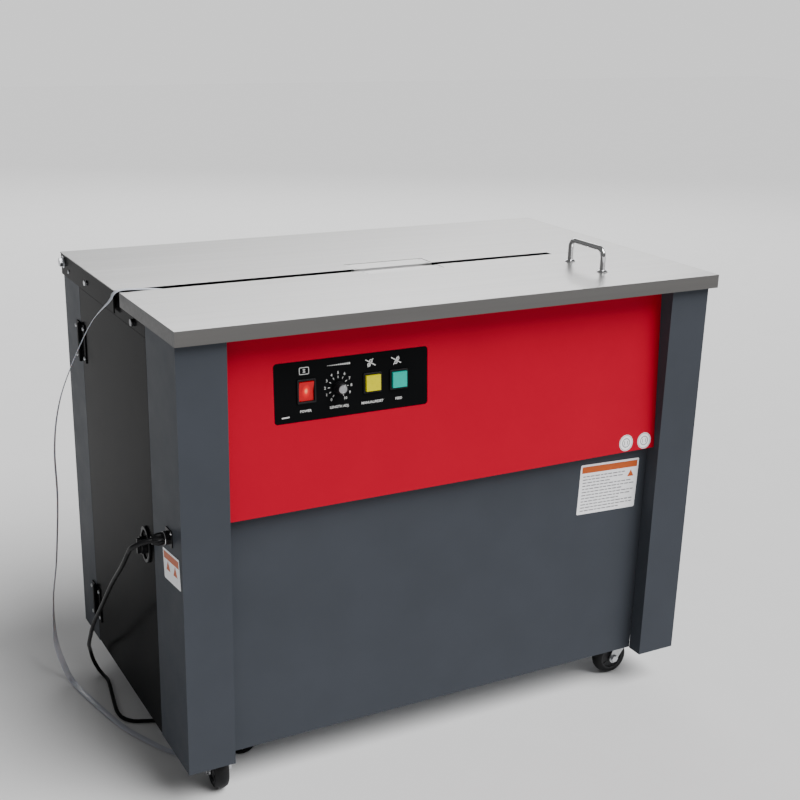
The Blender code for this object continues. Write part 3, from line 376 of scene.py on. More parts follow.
def soften(name, width, segments=2):
    """Folded and cut edges catch light, so a CAD part gets a small rounded edge."""
    bevel = NODES[name].modifiers.new("edge", "BEVEL")
    bevel.width = width
    bevel.segments = segments
    bevel.limit_method = "ANGLE"
    bevel.angle_limit = math.radians(40)
    bevel.harden_normals = False


for name in ("column_front_left", "column_front_right", "column_rear_left", "column_rear_right", "red_front_panel",
             "lower_front_panel", "right_side_panel", "rear_panel"):
    soften(name, 0.0007)
soften("left_door", 0.0009)
soften("table_top", 0.0013, 3)
for name in ("reset_button", "feed_button", "power_rocker"):
    soften(name, 0.0012, 3)
for name in ("control_plate", "table_pivot_plate_left", "table_pivot_plate_right"):
    soften(name, 0.0005)


# Building helpers
def quads(rings, steps):
    """The faces between rings of points that follow each other, steps points to a ring."""
    faces = []
    for ring in range(rings - 1):
        for step in range(steps):
            after = (step + 1) % steps
            faces.append([ring * steps + step, ring * steps + after, (ring + 1) * steps + after,
                          (ring + 1) * steps + step])
    return faces


def piece(name, vertices, faces, surface, body, smooth=None, bevel=0.0, segments=2):
    mesh = bpy.data.meshes.new(name)
    mesh.from_pydata([tuple(v) for v in vertices], [], faces)
    shape = bmesh.new()
    shape.from_mesh(mesh)
    bmesh.ops.recalc_face_normals(shape, faces=shape.faces)
    shape.to_mesh(mesh)
    shape.free()
    mesh.materials.append(surface)
    made = bpy.data.objects.new(name, mesh)
    bpy.context.scene.collection.objects.link(made)
    if bevel:
        edge = made.modifiers.new("edge", "BEVEL")
        edge.width = bevel
        edge.segments = segments
        edge.limit_method = "ANGLE"
        edge.angle_limit = math.radians(35)
    if smooth:
        mesh.shade_smooth()
        mesh.set_sharp_from_angle(angle=math.radians(smooth))
    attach(made, body)
    return made


class Build:
    """Vertices and faces gathered from several simple shapes into one piece."""

    def __init__(self):
        self.vertices, self.faces = [], []

    def add(self, vertices, faces, frame=None):
        start = len(self.vertices)
        self.vertices += [(frame @ Vector(v)) if frame else Vector(v) for v in vertices]
        self.faces += [[start + index for index in face] for face in faces]
        return self

    def lathe(self, profile, steps, frame=None, phase=0.0):
        """Turns (radius, height) points round local Z. The profile's ends lie on the axis or are joined up."""
        rings = []
        vertices, faces = [], []
        for radius, height in profile:
            if radius < 1e-7:
                vertices.append((0, 0, height))
                rings.append([len(vertices) - 1])
            else:
                first = len(vertices)
                for step in range(steps):
                    angle = phase + 2 * math.pi * step / steps
                    vertices.append((radius * math.cos(angle), radius * math.sin(angle), height))
                rings.append(list(range(first, first + steps)))
        pairs = list(zip(rings, rings[1:]))
        if len(rings[0]) > 1 and len(rings[-1]) > 1:
            pairs.append((rings[-1], rings[0]))
        for one, two in pairs:
            for step in range(steps):
                after = (step + 1) % steps
                if len(one) == 1 and len(two) > 1:
                    faces.append([one[0], two[step], two[after]])
                elif len(two) == 1 and len(one) > 1:
                    faces.append([one[step], two[0], one[after]])
                elif len(one) > 1:
                    faces.append([one[step], two[step], two[after], one[after]])
        return self.add(vertices, faces, frame)

    def prism(self, outline, low, high, frame=None):
        """A closed flat outline from local height low to high."""
        count = len(outline)
        vertices = [(x, y, low) for x, y in outline] + [(x, y, high) for x, y in outline]
        faces = [list(range(count))[::-1], list(range(count, 2 * count))]
        faces += [[i, (i + 1) % count, count + (i + 1) % count, count + i] for i in range(count)]
        return self.add(vertices, faces, frame)

    def block(self, low, high, frame=None):
        outline = [(low[0], low[1]), (high[0], low[1]), (high[0], high[1]), (low[0], high[1])]
        return self.prism(outline, low[2], high[2], frame)

    def ring(self, outer, inner, low, high, frame=None):
        """A plate between two outlines with the same number of points."""
        count = len(outer)
        vertices = []
        for outline, height in ((outer, low), (inner, low), (inner, high), (outer, high)):
            vertices += [(x, y, height) for x, y in outline]
        faces = []
        for i in range(count):
            j = (i + 1) % count
            for loop in range(4):
                a, b = loop * count, ((loop + 1) % 4) * count
                faces.append([a + i, a + j, b + j, b + i])
        return self.add(vertices, faces, frame)

    def make(self, name, surface, body, **options):
        return piece(name, self.vertices, self.faces, surface, body, **options)


def circle(radius, count, centre=(0.0, 0.0), phase=0.0):
    return [(centre[0] + radius * math.cos(phase + 2 * math.pi * i / count),
             centre[1] + radius * math.sin(phase + 2 * math.pi * i / count)) for i in range(count)]


def rounded(left, bottom, right, top, radius, steps=5):
    points = []
    for cx, cy, start in ((right - radius, top - radius, 0), (left + radius, top - radius, 90),
                          (left + radius, bottom + radius, 180), (right - radius, bottom + radius, 270)):
        for step in range(steps + 1):
            angle = math.radians(start + 90 * step / steps)
            points.append((cx + radius * math.cos(angle), cy + radius * math.sin(angle)))
    return points


def facing(place, direction, up=(0, 0, 1)):
    """A frame at place whose local Z points along direction."""
    z = Vector(direction).normalized()
    x = Vector(up).cross(z)
    if x.length < 1e-6:
        x = Vector((1, 0, 0))
    x.normalize()
    y = z.cross(x)
    made = Matrix((x, y, z)).transposed().to_4x4()
    made.translation = Vector(place)
    return made


LEFT, RIGHT, FRONT, BACK, UP = (-1, 0, 0), (1, 0, 0), (0, -1, 0), (0, 1, 0), (0, 0, 1)


def hex_bolts(name, places, direction, across, surface, body, washer=True):
    """Hex heads with a chamfer, each on a washer."""
    shape = Build()
    for index, place in enumerate(places):
        there = facing(place, direction) @ Matrix.Rotation(0.4 * index + 0.2, 4, "Z")
        base = 0.0
        if washer:
            shape.lathe([(0.0, 0.0), (across * 0.98, 0.0), (across * 0.98, 0.0011), (0.0, 0.0011)], 20, there)
            base = 0.0010
        radius = across * 0.577
        shape.lathe([(0.0, base), (radius, base), (radius, base + across * 0.32), (radius * 0.88, base + across * 0.40),
                     (0.0, base + across * 0.40)], 6, there)
    shape.make(name, surface, body, smooth=30)


def pan_screws(name, places, direction, radius, surface, body):
    """Round heads with a cross recess."""
    shape = Build()
    for index, place in enumerate(places):
        there = facing(place, direction) @ Matrix.Rotation(0.7 * index, 4, "Z")
        vertices = []
        steps = 24
        for share, height in ((1.0, 0.0), (0.98, 0.22), (0.82, 0.42), (0.55, 0.52), (0.30, 0.55)):
            for step in range(steps):
                angle = 2 * math.pi * step / steps
                deep = 0.30 if share < 0.6 and step % 6 in (0, 1, 5) else 0.0
                vertices.append((radius * share * math.cos(angle), radius * share * math.sin(angle),
                                 radius * (height - deep)))
        faces = quads(5, steps)
        vertices.append((0, 0, radius * 0.20))
        for step in range(steps):
            faces.append([4 * steps + step, 4 * steps + (step + 1) % steps, 5 * steps])
        faces.append(list(range(steps))[::-1])
        shape.add(vertices, faces, there)
    shape.make(name, surface, body, smooth=40)


def tube_along(points, radii, sides=12):
    """Rings round a line of points, with closed ends."""
    vertices = []
    points = [Vector(p) for p in points]
    side = None
    for index, point in enumerate(points):
        ahead = points[min(index + 1, len(points) - 1)] - points[max(index - 1, 0)]
        ahead.normalize()
        if side is None:
            side = ahead.orthogonal().normalized()
        side = (side - ahead * side.dot(ahead)).normalized()
        other = ahead.cross(side)
        radius = radii[index]
        for step in range(sides):
            angle = 2 * math.pi * step / sides
            vertices.append(point + radius * (math.cos(angle) * side + math.sin(angle) * other))
    faces = quads(len(points), sides)
    faces.append(list(range(sides))[::-1])
    faces.append([(len(points) - 1) * sides + step for step in range(sides)])
    return Build().add(vertices, faces)


def smooth_line(route, count, floor):
    """Evenly spaced points on a Catmull-Rom curve through the route, kept above the floor."""
    knots = [Vector(point) for point in route]
    ends = [2 * knots[0] - knots[1]] + knots + [2 * knots[-1] - knots[-2]]
    fine = []
    for index in range(len(knots) - 1):
        before, start, end, after = ends[index : index + 4]
        for step in range(20):
            t = step / 20
            fine.append(0.5 * (2 * start + (end - before) * t + (2 * before - 5 * start + 4 * end - after) * t * t
                               + (3 * start - before - 3 * end + after) * t ** 3))
    fine.append(knots[-1])
    lengths = [0.0]
    for first, second in zip(fine, fine[1:]):
        lengths.append(lengths[-1] + (second - first).length)
    spaced, index = [], 0
    for step in range(count):
        target = lengths[-1] * step / (count - 1)
        while index < len(fine) - 2 and lengths[index + 1] < target:
            index += 1
        share = (target - lengths[index]) / (lengths[index + 1] - lengths[index])
        spaced.append(fine[index].lerp(fine[index + 1], min(share, 1.0)))
    for point in spaced:
        point.z = max(point.z, floor)
    return spaced


# Cords first: the mains lead with its hidden coil and plug, then the strap's free end
CORD_RADIUS = 0.0032
CORD_ROUTE = [
    (-0.4694, -0.2130, 0.4150), (-0.4712, -0.2130, 0.4150), (-0.4775, -0.2125, 0.4144),
    (-0.4843, -0.2106, 0.4125), (-0.4900, -0.2074, 0.4092), (-0.4943, -0.2033, 0.4050),
    (-0.4968, -0.1986, 0.4001), (-0.4995, -0.1697, 0.3654), (-0.4995, -0.1086, 0.3097),
    (-0.4965, -0.0357, 0.2411), (-0.4900, 0.0454, 0.1713), (-0.4805, 0.1118, 0.1115), (-0.4735, 0.1500, 0.0790),
    (-0.4670, 0.1740, 0.0600), (-0.4620, 0.1890, 0.0450), (-0.4585, 0.1955, 0.0300), (-0.4550, 0.1945, 0.0180),
    (-0.4510, 0.1860, 0.0080), (-0.4475, 0.1710, 0.0036), (-0.4453, 0.1478, 0.0034), (-0.4518, 0.1049, 0.0034),
    (-0.4585, 0.0641, 0.0034), (-0.4610, 0.0400, 0.0034), (-0.4575, 0.0190, 0.0034), (-0.4460, 0.0040, 0.0034),
    (-0.4280, -0.0045, 0.0034), (-0.4080, -0.0150, 0.0034), (-0.3800, -0.0480, 0.0034),
    (-0.3600, -0.0980, 0.0034), (-0.3450, -0.1370, 0.0034), (-0.3200, -0.1560, 0.0034),
    (-0.2930, -0.1370, 0.0034), (-0.2700, -0.0900, 0.0034), (-0.2400, -0.0290, 0.0034),
    (-0.2050, 0.0020, 0.0034), (-0.1700, 0.0090, 0.0034),
]
COIL_CENTRE = Vector((-0.170, 0.060, 0.0))
COIL_OUTER, COIL_INNER = 0.0436, 0.0364
LAYERS = (0.0033, 0.0099)


def make_cord():
    points = smooth_line(CORD_ROUTE, 170, CORD_RADIUS + 0.0001)
    steps = 32
    plan = [(COIL_OUTER, LAYERS[0]), (COIL_INNER, LAYERS[0]), (COIL_INNER, LAYERS[1]), (COIL_OUTER, LAYERS[1])]
    radius, height = 0.0510, LAYERS[0]
    for next_radius, next_height in plan:
        for step in range(1, steps + 1):
            ease = min(step / 9.0, 1.0)
            ease = ease * ease * (3 - 2 * ease)
            angle = -math.pi / 2 + 2 * math.pi * step / steps
            r = radius + (next_radius - radius) * ease
            z = height + (next_height - height) * ease
            points.append(COIL_CENTRE + Vector((r * math.cos(angle), r * math.sin(angle), z)))
        radius, height = next_radius, next_height
    for step in range(1, 9):
        angle = -math.pi / 2 + math.pi / 2 * step / 8
        points.append(COIL_CENTRE + Vector((radius * math.cos(angle), radius * math.sin(angle), height)))
    start = points[-1].copy()
    plug_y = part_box("power_plug")[0][1]
    for step in range(1, 9):
        share = step / 8
        points.append(Vector((start.x, start.y + (plug_y + 0.002 - start.y) * share, height + 0.0030 * share * share)))
    curve = bpy.data.curves.new("mains_lead", "CURVE")
    curve.dimensions = "3D"
    curve.bevel_depth = CORD_RADIUS
    curve.bevel_resolution = 4
    curve.use_fill_caps = True
    spline = curve.splines.new("POLY")
    spline.points.add(len(points) - 1)
    for slot, point in zip(spline.points, points):
        slot.co = (*point, 1.0)
    spline.use_smooth = True
    curve.materials.append(PVC)
    lead = bpy.data.objects.new("mains_lead", curve)
    bpy.context.scene.collection.objects.link(lead)
    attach(lead, "cabinet")
    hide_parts("power_cord", "power_cord_coil")
    relief_points = points[:7]
    travelled = [0.0]
    for first, second in zip(relief_points, relief_points[1:]):
        travelled.append(travelled[-1] + (second - first).length)
    radii = []
    for index, distance in enumerate(travelled):
        ribbed = 0.0004 if index % 2 else 0.0
        radii.append(0.0044 - 0.0010 * distance / travelled[-1] - ribbed)
    gland_relief = tube_along([Vector((-0.4670, -0.213, 0.415))] + relief_points, [0.0044] + radii, 20).make(
        "gland_relief", BLACK, "cabinet", smooth=40)
    neck_start, neck_end = plug_y - 0.022, plug_y + 0.001
    neck = [Vector((start.x, neck_start + (neck_end - neck_start) * i / 10, height + 0.0030)) for i in range(11)]
    neck_radii = [0.0034 + 0.0032 * i / 10 - (0.0004 if i % 2 else 0.0) for i in range(11)]
    plug_relief = tube_along(neck, neck_radii, 20).make("plug_relief", BLACK, "cabinet", smooth=40)


make_cord()

STRAP_ROUTE = [
    (-0.2900, -0.0300, 0.6960), (-0.3260, -0.0300, 0.7060), (-0.3620, -0.0300, 0.7150),
    (-0.3900, -0.0300, 0.7205), (-0.4250, -0.0300, 0.7236), (-0.4450, -0.0300, 0.7234),
    (-0.4535, -0.0300, 0.7190), (-0.4590, -0.0290, 0.7090), (-0.4860, -0.0200, 0.6750), (-0.5170, 0.0000, 0.5990),
    (-0.5300, 0.0200, 0.5410), (-0.5330, 0.0450, 0.4710), (-0.5280, 0.0700, 0.3790), (-0.5270, 0.1100, 0.2620),
    (-0.5280, 0.1480, 0.1730), (-0.5220, 0.1780, 0.0830), (-0.5080, 0.1860, 0.0250), (-0.4990, 0.1640, 0.0031),
    (-0.4850, 0.0820, 0.0031), (-0.4665, -0.0020, 0.0031), (-0.4430, -0.0620, 0.0031), (-0.4200, -0.1080, 0.0031),
    (-0.4020, -0.1260, 0.0031), (-0.3820, -0.1300, 0.0031), (-0.3620, -0.1240, 0.0031),
]


def make_strap():
    width, thick = 0.0098, 0.0008
    points = smooth_line(STRAP_ROUTE, 240, 0.0014)
    vertices, along = [], []
    travelled = 0.0
    for index, point in enumerate(points):
        ahead = points[min(index + 1, len(points) - 1)] - points[max(index - 1, 0)]
        ahead.normalize()
        swing = max(0.0, min(1.0, (0.7215 - point.z) / 0.035))
        landing = max(0.0, min(1.0, (0.17 - point.z) / 0.16))
        turn = 0.46 * swing * swing * (3 - 2 * swing) + 1.11 * landing * landing * (3 - 2 * landing)
        across = Vector((math.sin(turn), math.cos(turn), 0.0))
        across = (across - ahead * across.dot(ahead)).normalized()
        out = ahead.cross(across)
        if index:
            travelled += (point - points[index - 1]).length
        along.append(travelled)
        for side, lift in ((-0.5, -0.3), (-0.47, -0.5), (0.47, -0.5), (0.5, -0.3), (0.5, 0.3), (0.47, 0.5),
                           (-0.47, 0.5), (-0.5, 0.3)):
            vertices.append(point + across * side * width + out * lift * thick)
    ring = 8
    faces = quads(len(points), ring)
    faces.append(list(range(ring))[::-1])
    faces.append([(len(points) - 1) * ring + step for step in range(ring)])
    strap = piece("strap_end", vertices, faces, STRAP, "cabinet", smooth=35)
    layer = strap.data.uv_layers.new(name="UVMap")
    place = {0: 0.0, 1: 0.03, 2: 0.97, 3: 1.0, 4: 1.0, 5: 0.97, 6: 0.03, 7: 0.0}
    for loop in strap.data.loops:
        row, step = divmod(loop.vertex_index, ring)
        layer.data[loop.index].uv = (along[row], place[step] * width)
    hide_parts("strap_tail")


make_strap()


# Control panel
face_low, face_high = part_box("red_front_panel")
plate_low, plate_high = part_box("control_plate")
SLOPE = 0.0590
LEAN = math.atan(SLOPE)
FACE = Matrix.Translation((0, face_low[1], face_low[2])) @ Matrix.Rotation(math.pi / 2 - LEAN, 4, "X")


def face_height(z):
    return (z - face_low[2]) * math.hypot(1.0, SLOPE)


PLATE = FACE @ Matrix.Translation((0, 0, -0.0008))
ROW = face_height(0.609)
DIAL_X = -0.200
PRINT_THICK = 0.00012


def panel_surround():
    left, right = plate_low[0] - 0.0003, plate_high[0] + 0.0003
    low, high = face_height(0.566), face_height(0.6525)
    shape = Build()
    for cx, cy, sx, sy in ((left, low, 1, 1), (right, low, -1, 1), (right, high, -1, -1), (left, high, 1, -1)):
        radius = 0.0052
        arc = [(cx + sx * (radius - radius * math.cos(a)), cy + sy * (radius - radius * math.sin(a)))
               for a in [math.pi / 2 * i / 8 for i in range(9)]]
        outline = [(cx, cy)] + arc
        if sx * sy < 0:
            outline = outline[::-1]
        shape.prism(outline, -0.0015, 0.0, FACE)
    corners = shape.make("panel_window_corners", RED, "cabinet")


panel_surround()


def text_shape(words, size, weight=0.0):
    """Flat lettering as vertices and faces, from the built-in font."""
    curve = bpy.data.curves.new("words", "FONT")
    curve.body = words
    curve.size = size
    curve.align_x = "CENTER"
    curve.align_y = "CENTER"
    curve.resolution_u = 2
    curve.offset = weight
    made = bpy.data.objects.new("words", curve)
    bpy.context.scene.collection.objects.link(made)
    bpy.context.view_layer.update()
    mesh = bpy.data.meshes.new_from_object(made.evaluated_get(bpy.context.evaluated_depsgraph_get()))
    vertices = [v.co.copy() for v in mesh.vertices]
    faces = [list(p.vertices) for p in mesh.polygons]
    bpy.data.objects.remove(made, do_unlink=True)
    bpy.data.meshes.remove(mesh)
    return vertices, faces


def strip(shape, start, end, width, frame):
    a, b = Vector(start), Vector(end)
    side = (b - a).normalized()
    side = Vector((-side.y, side.x)) * width / 2
    outline = [tuple(a - side), tuple(b - side), tuple(b + side), tuple(a + side)]
    shape.prism(outline, 0.0, PRINT_THICK, frame)


def panel_print():
    shape = Build()
    flat = PLATE

    for name, x in (("POWER", -0.2505), ("LENGTH ADJ.", -0.1985), ("MANUAL/RESET", -0.1465), ("FEED", -0.1040)):
        vertices, faces = text_shape(name, 0.0050, weight=0.00012)
        shape.add(vertices, faces, flat @ Matrix.Translation((x, face_height(0.5805), PRINT_THICK)))
    for number in range(11):
        angle = math.radians(238 - 296 * number / 10)
        dx, dy = math.cos(angle), math.sin(angle)
        vertices, faces = text_shape(str(number), 0.0056, weight=0.00008)
        at = [(DIAL_X + reach * dx, ROW + reach * dy) for reach in (0.0205, 0.0128, 0.0160)]
        shape.add(vertices, faces, flat @ Matrix.Translation((*at[0], PRINT_THICK)))
        strip(shape, at[1], at[2], 0.0009, flat)
    for index in range(11):
        x = -0.2165 + index * 0.0033
        tall = 0.0005 + 0.0021 * index / 10
        strip(shape, (x, face_height(0.6410)), (x + 0.0024, face_height(0.6410)), tall, flat)
    # switch symbol: a rounded box round a small mark
    cx, cy = -0.2517, face_height(0.638)
    shape.ring(rounded(cx - 0.0075, cy - 0.0052, cx + 0.0075, cy + 0.0052, 0.0018),
               rounded(cx - 0.0066, cy - 0.0043, cx + 0.0066, cy + 0.0043, 0.0011), 0.0, PRINT_THICK, flat)
    strip(shape, (cx, cy - 0.0028), (cx, cy + 0.0028), 0.0010, flat)
    strip(shape, (cx - 0.0020, cy + 0.0016), (cx + 0.0020, cy + 0.0016), 0.0008, flat)
    strip(shape, (cx - 0.0020, cy - 0.0016), (cx + 0.0020, cy - 0.0016), 0.0008, flat)
    # strap symbols: a strap line between two rollers
    for cx, z, lean in ((-0.149, 0.638, -0.0010), (-0.108, 0.637, 0.0010)):
        cy = face_height(z)
        strip(shape, (cx - 0.0080, cy + 0.0048), (cx + 0.0080, cy - 0.0046), 0.0014, flat)
        for ox, oy in ((0.0016, 0.0022), (-0.0014, -0.0030)):
            shape.ring(circle(0.0027, 20, (cx + ox + lean, cy + oy)), circle(0.0013, 20, (cx + ox + lean, cy + oy)),
                       0.0, PRINT_THICK, flat)
        strip(shape, (cx + 0.0042, cy + 0.0056), (cx - 0.0042, cy - 0.0062), 0.0012, flat)
    strip(shape, (-0.2868, face_height(0.5745)), (-0.2752, face_height(0.5750)), 0.0018, flat)
    shape.make("panel_print", PRINT, "cabinet")


panel_print()


def control_details():
    """The rocker's moulded frame, the silver dial cap with its pointer and grip ribs."""
    cx = -0.249
    frame_shape = Build()
    frame_shape.ring(rounded(cx - 0.0143, ROW - 0.0172, cx + 0.0143, ROW + 0.0172, 0.0020),
                     rounded(cx - 0.0117, ROW - 0.0148, cx + 0.0117, ROW + 0.0148, 0.0010), 0.0004, 0.0021, PLATE)
    frame_shape.make("rocker_frame", BLACK, "cabinet", bevel=0.0004)
    for name, x in (("reset_frame", -0.1465), ("feed_frame", -0.1042)):
        shape = Build()
        shape.ring(rounded(x - 0.0146, ROW - 0.0146, x + 0.0146, ROW + 0.0146, 0.0020),
                   rounded(x - 0.0117, ROW - 0.0117, x + 0.0117, ROW + 0.0117, 0.0008), 0.0004, 0.0019, PLATE)
        shape.make(name, BLACK, "cabinet", bevel=0.0004)
    knob = Build()
    steps = 72
    outline = []
    for step in range(steps):
        angle = 2 * math.pi * step / steps
        ridge = 0.00028 if step % 3 == 0 else -0.00022
        outline.append((angle, ridge))
    vertices, faces = [], []
    for radius, height, share in ((0.0088, 0.0012, 0.4), (0.0087, 0.0030, 1.0), (0.0080, 0.0132, 1.0),
                                  (0.0074, 0.0146, 0.3), (0.0066, 0.0150, 0.0)):
        for angle, ridge in outline:
            r = radius + ridge * share
            vertices.append((r * math.cos(angle), r * math.sin(angle), height))
    faces = quads(5, steps)
    faces.append(list(range(4 * steps, 5 * steps)))
    faces.append(list(range(steps))[::-1])
    knob.add(vertices, faces, PLATE @ Matrix.Translation((DIAL_X, ROW, 0.0008)))
    made = knob.make("dial_knob", BLACK, "length_dial", smooth=50)
    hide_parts("length_dial")
    cap = Build()
    there = PLATE @ Matrix.Translation((DIAL_X, ROW, 0.0158))
    cap.lathe([(0.0, 0.0), (0.0062, 0.0), (0.0060, 0.0004), (0.0052, 0.0005), (0.0050, 0.0003), (0.0, 0.0003)], 36,
              there)
    cap.make("dial_cap", STEEL, "length_dial", smooth=40)
    mark = Build()
    mark.block((-0.0004, 0.0030, 0.0004), (0.0004, 0.0072, 0.00065), there @ Matrix.Rotation(math.radians(-30), 4, "Z"))
    mark.make("dial_pointer", PRINT, "length_dial")


control_details()


# Labels: plain shapes and lines stand in for the printed ones
INK_LAYER = (0.00015, 0.0002)


def label(name, frame, width, height, body, lines=0, triangles=False, header=0.24, tilt=0.0, corner=False):
    there = frame @ Matrix.Rotation(tilt, 4, "Z")
    sheet = Build()
    sheet.prism(rounded(-width / 2, -height / 2, width / 2, height / 2, 0.0022), 0.0, 0.00015, there)
    sheet.make(name, PAPER, body)
    band = Build()
    top = height / 2 - 0.0035
    band.prism(rounded(-width / 2 + 0.003, top - height * header, width / 2 - 0.003, top, 0.0006), *INK_LAYER, there)
    if triangles:
        for cx in (-width * 0.22, width * 0.22):
            base = -height * 0.16
            band.prism([(cx - 0.0085, base), (cx + 0.0085, base), (cx, base + 0.0150)], *INK_LAYER, there)
    if corner:
        band.prism([(width * 0.32, top - 0.0270), (width * 0.43, top - 0.0270), (width * 0.375, top - 0.0155)],
                   *INK_LAYER, there)
    band.make(name + "_band", ORANGE, body)
    ink = Build()
    start = top - height * header - 0.006
    for index in range(lines):
        y = start - index * (start + height / 2 - 0.006) / max(lines - 1, 1)
        reach = width - 0.012 - (0.030 if index % 3 == 2 else 0.006 * (index % 2)) - (0.022 if index < 3 else 0.0)
        x = -width / 2 + 0.006
        word = 0
        while x < -width / 2 + 0.006 + reach:
            step = 0.005 + 0.0045 * ((index * 7 + word * 5) % 4) / 3
            ink.block((x, y - 0.0009, 0.00015), (min(x + step, width / 2 - 0.005), y + 0.0009, 0.0002), there)
            x += step + 0.0016
            word += 1
    if lines:
        ink.make(name + "_lines", INK, body)


panel_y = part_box("lower_front_panel")[0][1]
label("front_label", facing((0.2935, panel_y - 0.0001, 0.3752), FRONT), 0.117, 0.086, "cabinet", lines=12, header=0.13,
      tilt=-0.033, corner=True)
side_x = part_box("column_front_left")[0][0]
label("side_label", facing((side_x - 0.0001, -0.2180, 0.3690), LEFT), 0.0690, 0.0455, "cabinet", lines=0,
      triangles=True, tilt=math.radians(5.7))


def round_label(name, x, z):
    there = FACE @ Matrix.Translation((x, face_height(z), 0.0))
    disc = Build()
    disc.prism(circle(0.0135, 40), 0.0, 0.00015, there)
    disc.make(name, PAPER, "cabinet")
    ring = Build()
    ring.ring(circle(0.0126, 40), circle(0.0118, 40), 0.00015, 0.0002, there)
    ring.ring(circle(0.0078, 40), circle(0.0064, 40), 0.00015, 0.0002, there)
    for sx in (-0.0030, 0.0030):
        ring.block((sx - 0.0006, -0.0032, 0.00015), (sx + 0.0006, 0.0032, 0.0002), there)
    ring.make(name + "_mark", INK, "cabinet")


round_label("round_label_left", 0.3115, 0.4525)
round_label("round_label_right", 0.3480, 0.4514)


# Table hardware
def bow_handle():
    low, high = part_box("table_handle")
    x = (low[0] + high[0]) / 2
    front, back, top = low[1] + 0.0042, high[1] - 0.0042, high[2] - 0.0042
    bottom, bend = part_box("table_top")[1][2], 0.0125
    line = [(x, front, bottom + 0.0002), (x, front, bottom + 0.010)]
    for i in range(13):
        angle = math.pi - math.pi / 2 * i / 12
        line.append((x, front + bend + bend * math.cos(angle), top - bend + bend * math.sin(angle)))
    for i in range(13):
        angle = math.pi / 2 - math.pi / 2 * i / 12
        line.append((x, back - bend + bend * math.cos(angle), top - bend + bend * math.sin(angle)))
    line += [(x, back, bottom + 0.010), (x, back, bottom + 0.0002)]
    bow = tube_along(line, [0.0042] * len(line), 20)
    for y in (front, back):
        bow.lathe([(0.0, 0.0), (0.0085, 0.0), (0.0085, 0.0009), (0.0062, 0.0028), (0.0044, 0.0034), (0.0, 0.0034)], 28,
                  Matrix.Translation((x, y, bottom + 0.0001)))
    made = bow.make("bow_handle", CHROME, "table", smooth=40)
    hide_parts("table_handle")


bow_handle()

end_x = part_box("table_pivot_plate_left")[0][0]
hex_bolts("table_end_bolt", [(end_x, 0.128, 0.701)], LEFT, 0.0080, ZINC, "table", washer=False)
pan_screws("table_end_screw", [(end_x, 0.228, 0.698)], LEFT, 0.0032, ZINC, "table")
header_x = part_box("head_support_frame")[0][0]
hex_bolts("header_bolt", [(header_x, -0.088, 0.6905)], LEFT, 0.0105, GUNMETAL, "cabinet", washer=False)


def pivot_washers():
    for side, direction in (("left", LEFT), ("right", RIGHT)):
        low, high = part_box("table_pivot_bolt_" + side)
        x = end_x if side == "left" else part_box("table_top")[1][0]
        y, z = (low[1] + high[1]) / 2, (low[2] + high[2]) / 2
        shape = Build()
        there = facing((x, y, z), direction)
        shape.lathe([(0.0045, 0.0), (0.0098, 0.0), (0.0098, 0.0003), (0.0045, 0.0003)], 24, there)
        shape.make("pivot_washer_" + side, ZINC, "cabinet", smooth=30)


pivot_washers()


# Door latch pocket, hinges and gland hardware
def latch_pocket():
    there = facing((side_x, -0.106, 0.361), LEFT)
    shape = Build()
    outer, inner = [[(wide * math.cos(2 * math.pi * i / 48), tall * math.sin(2 * math.pi * i / 48))
                     for i in range(48)] for wide, tall in ((0.0205, 0.0285), (0.0150, 0.0225))]
    shape.ring(outer, inner, 0.0, 0.0034, there)
    shape.make("latch_bezel", BLACK, "left_door", smooth=60, bevel=0.0010)
    back = Build()
    shaft = [(0.0084 * p[0] / math.hypot(*p), 0.0084 * p[1] / math.hypot(*p)) for p in inner]
    back.ring(inner, shaft, 0.00005, 0.0004, there)
    back.make("latch_pocket", DARK_HOLE, "left_door")


latch_pocket()

for hinge_name in ("upper_hinge", "lower_hinge"):
    low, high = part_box(hinge_name)
    z0, z1 = low[2] + 0.008, high[2] - 0.008
    pan_screws(hinge_name + "_frame_screws", [(low[0] + 0.0018, 0.2055, z0), (low[0] + 0.0018, 0.2055, z1)], LEFT, 0.0033,
               ZINC, "cabinet")
    pan_screws(hinge_name + "_door_screws", [(side_x - 0.0018, 0.1745, z0), (side_x - 0.0018, 0.1745, z1)], LEFT, 0.0033,
               ZINC, "left_door")


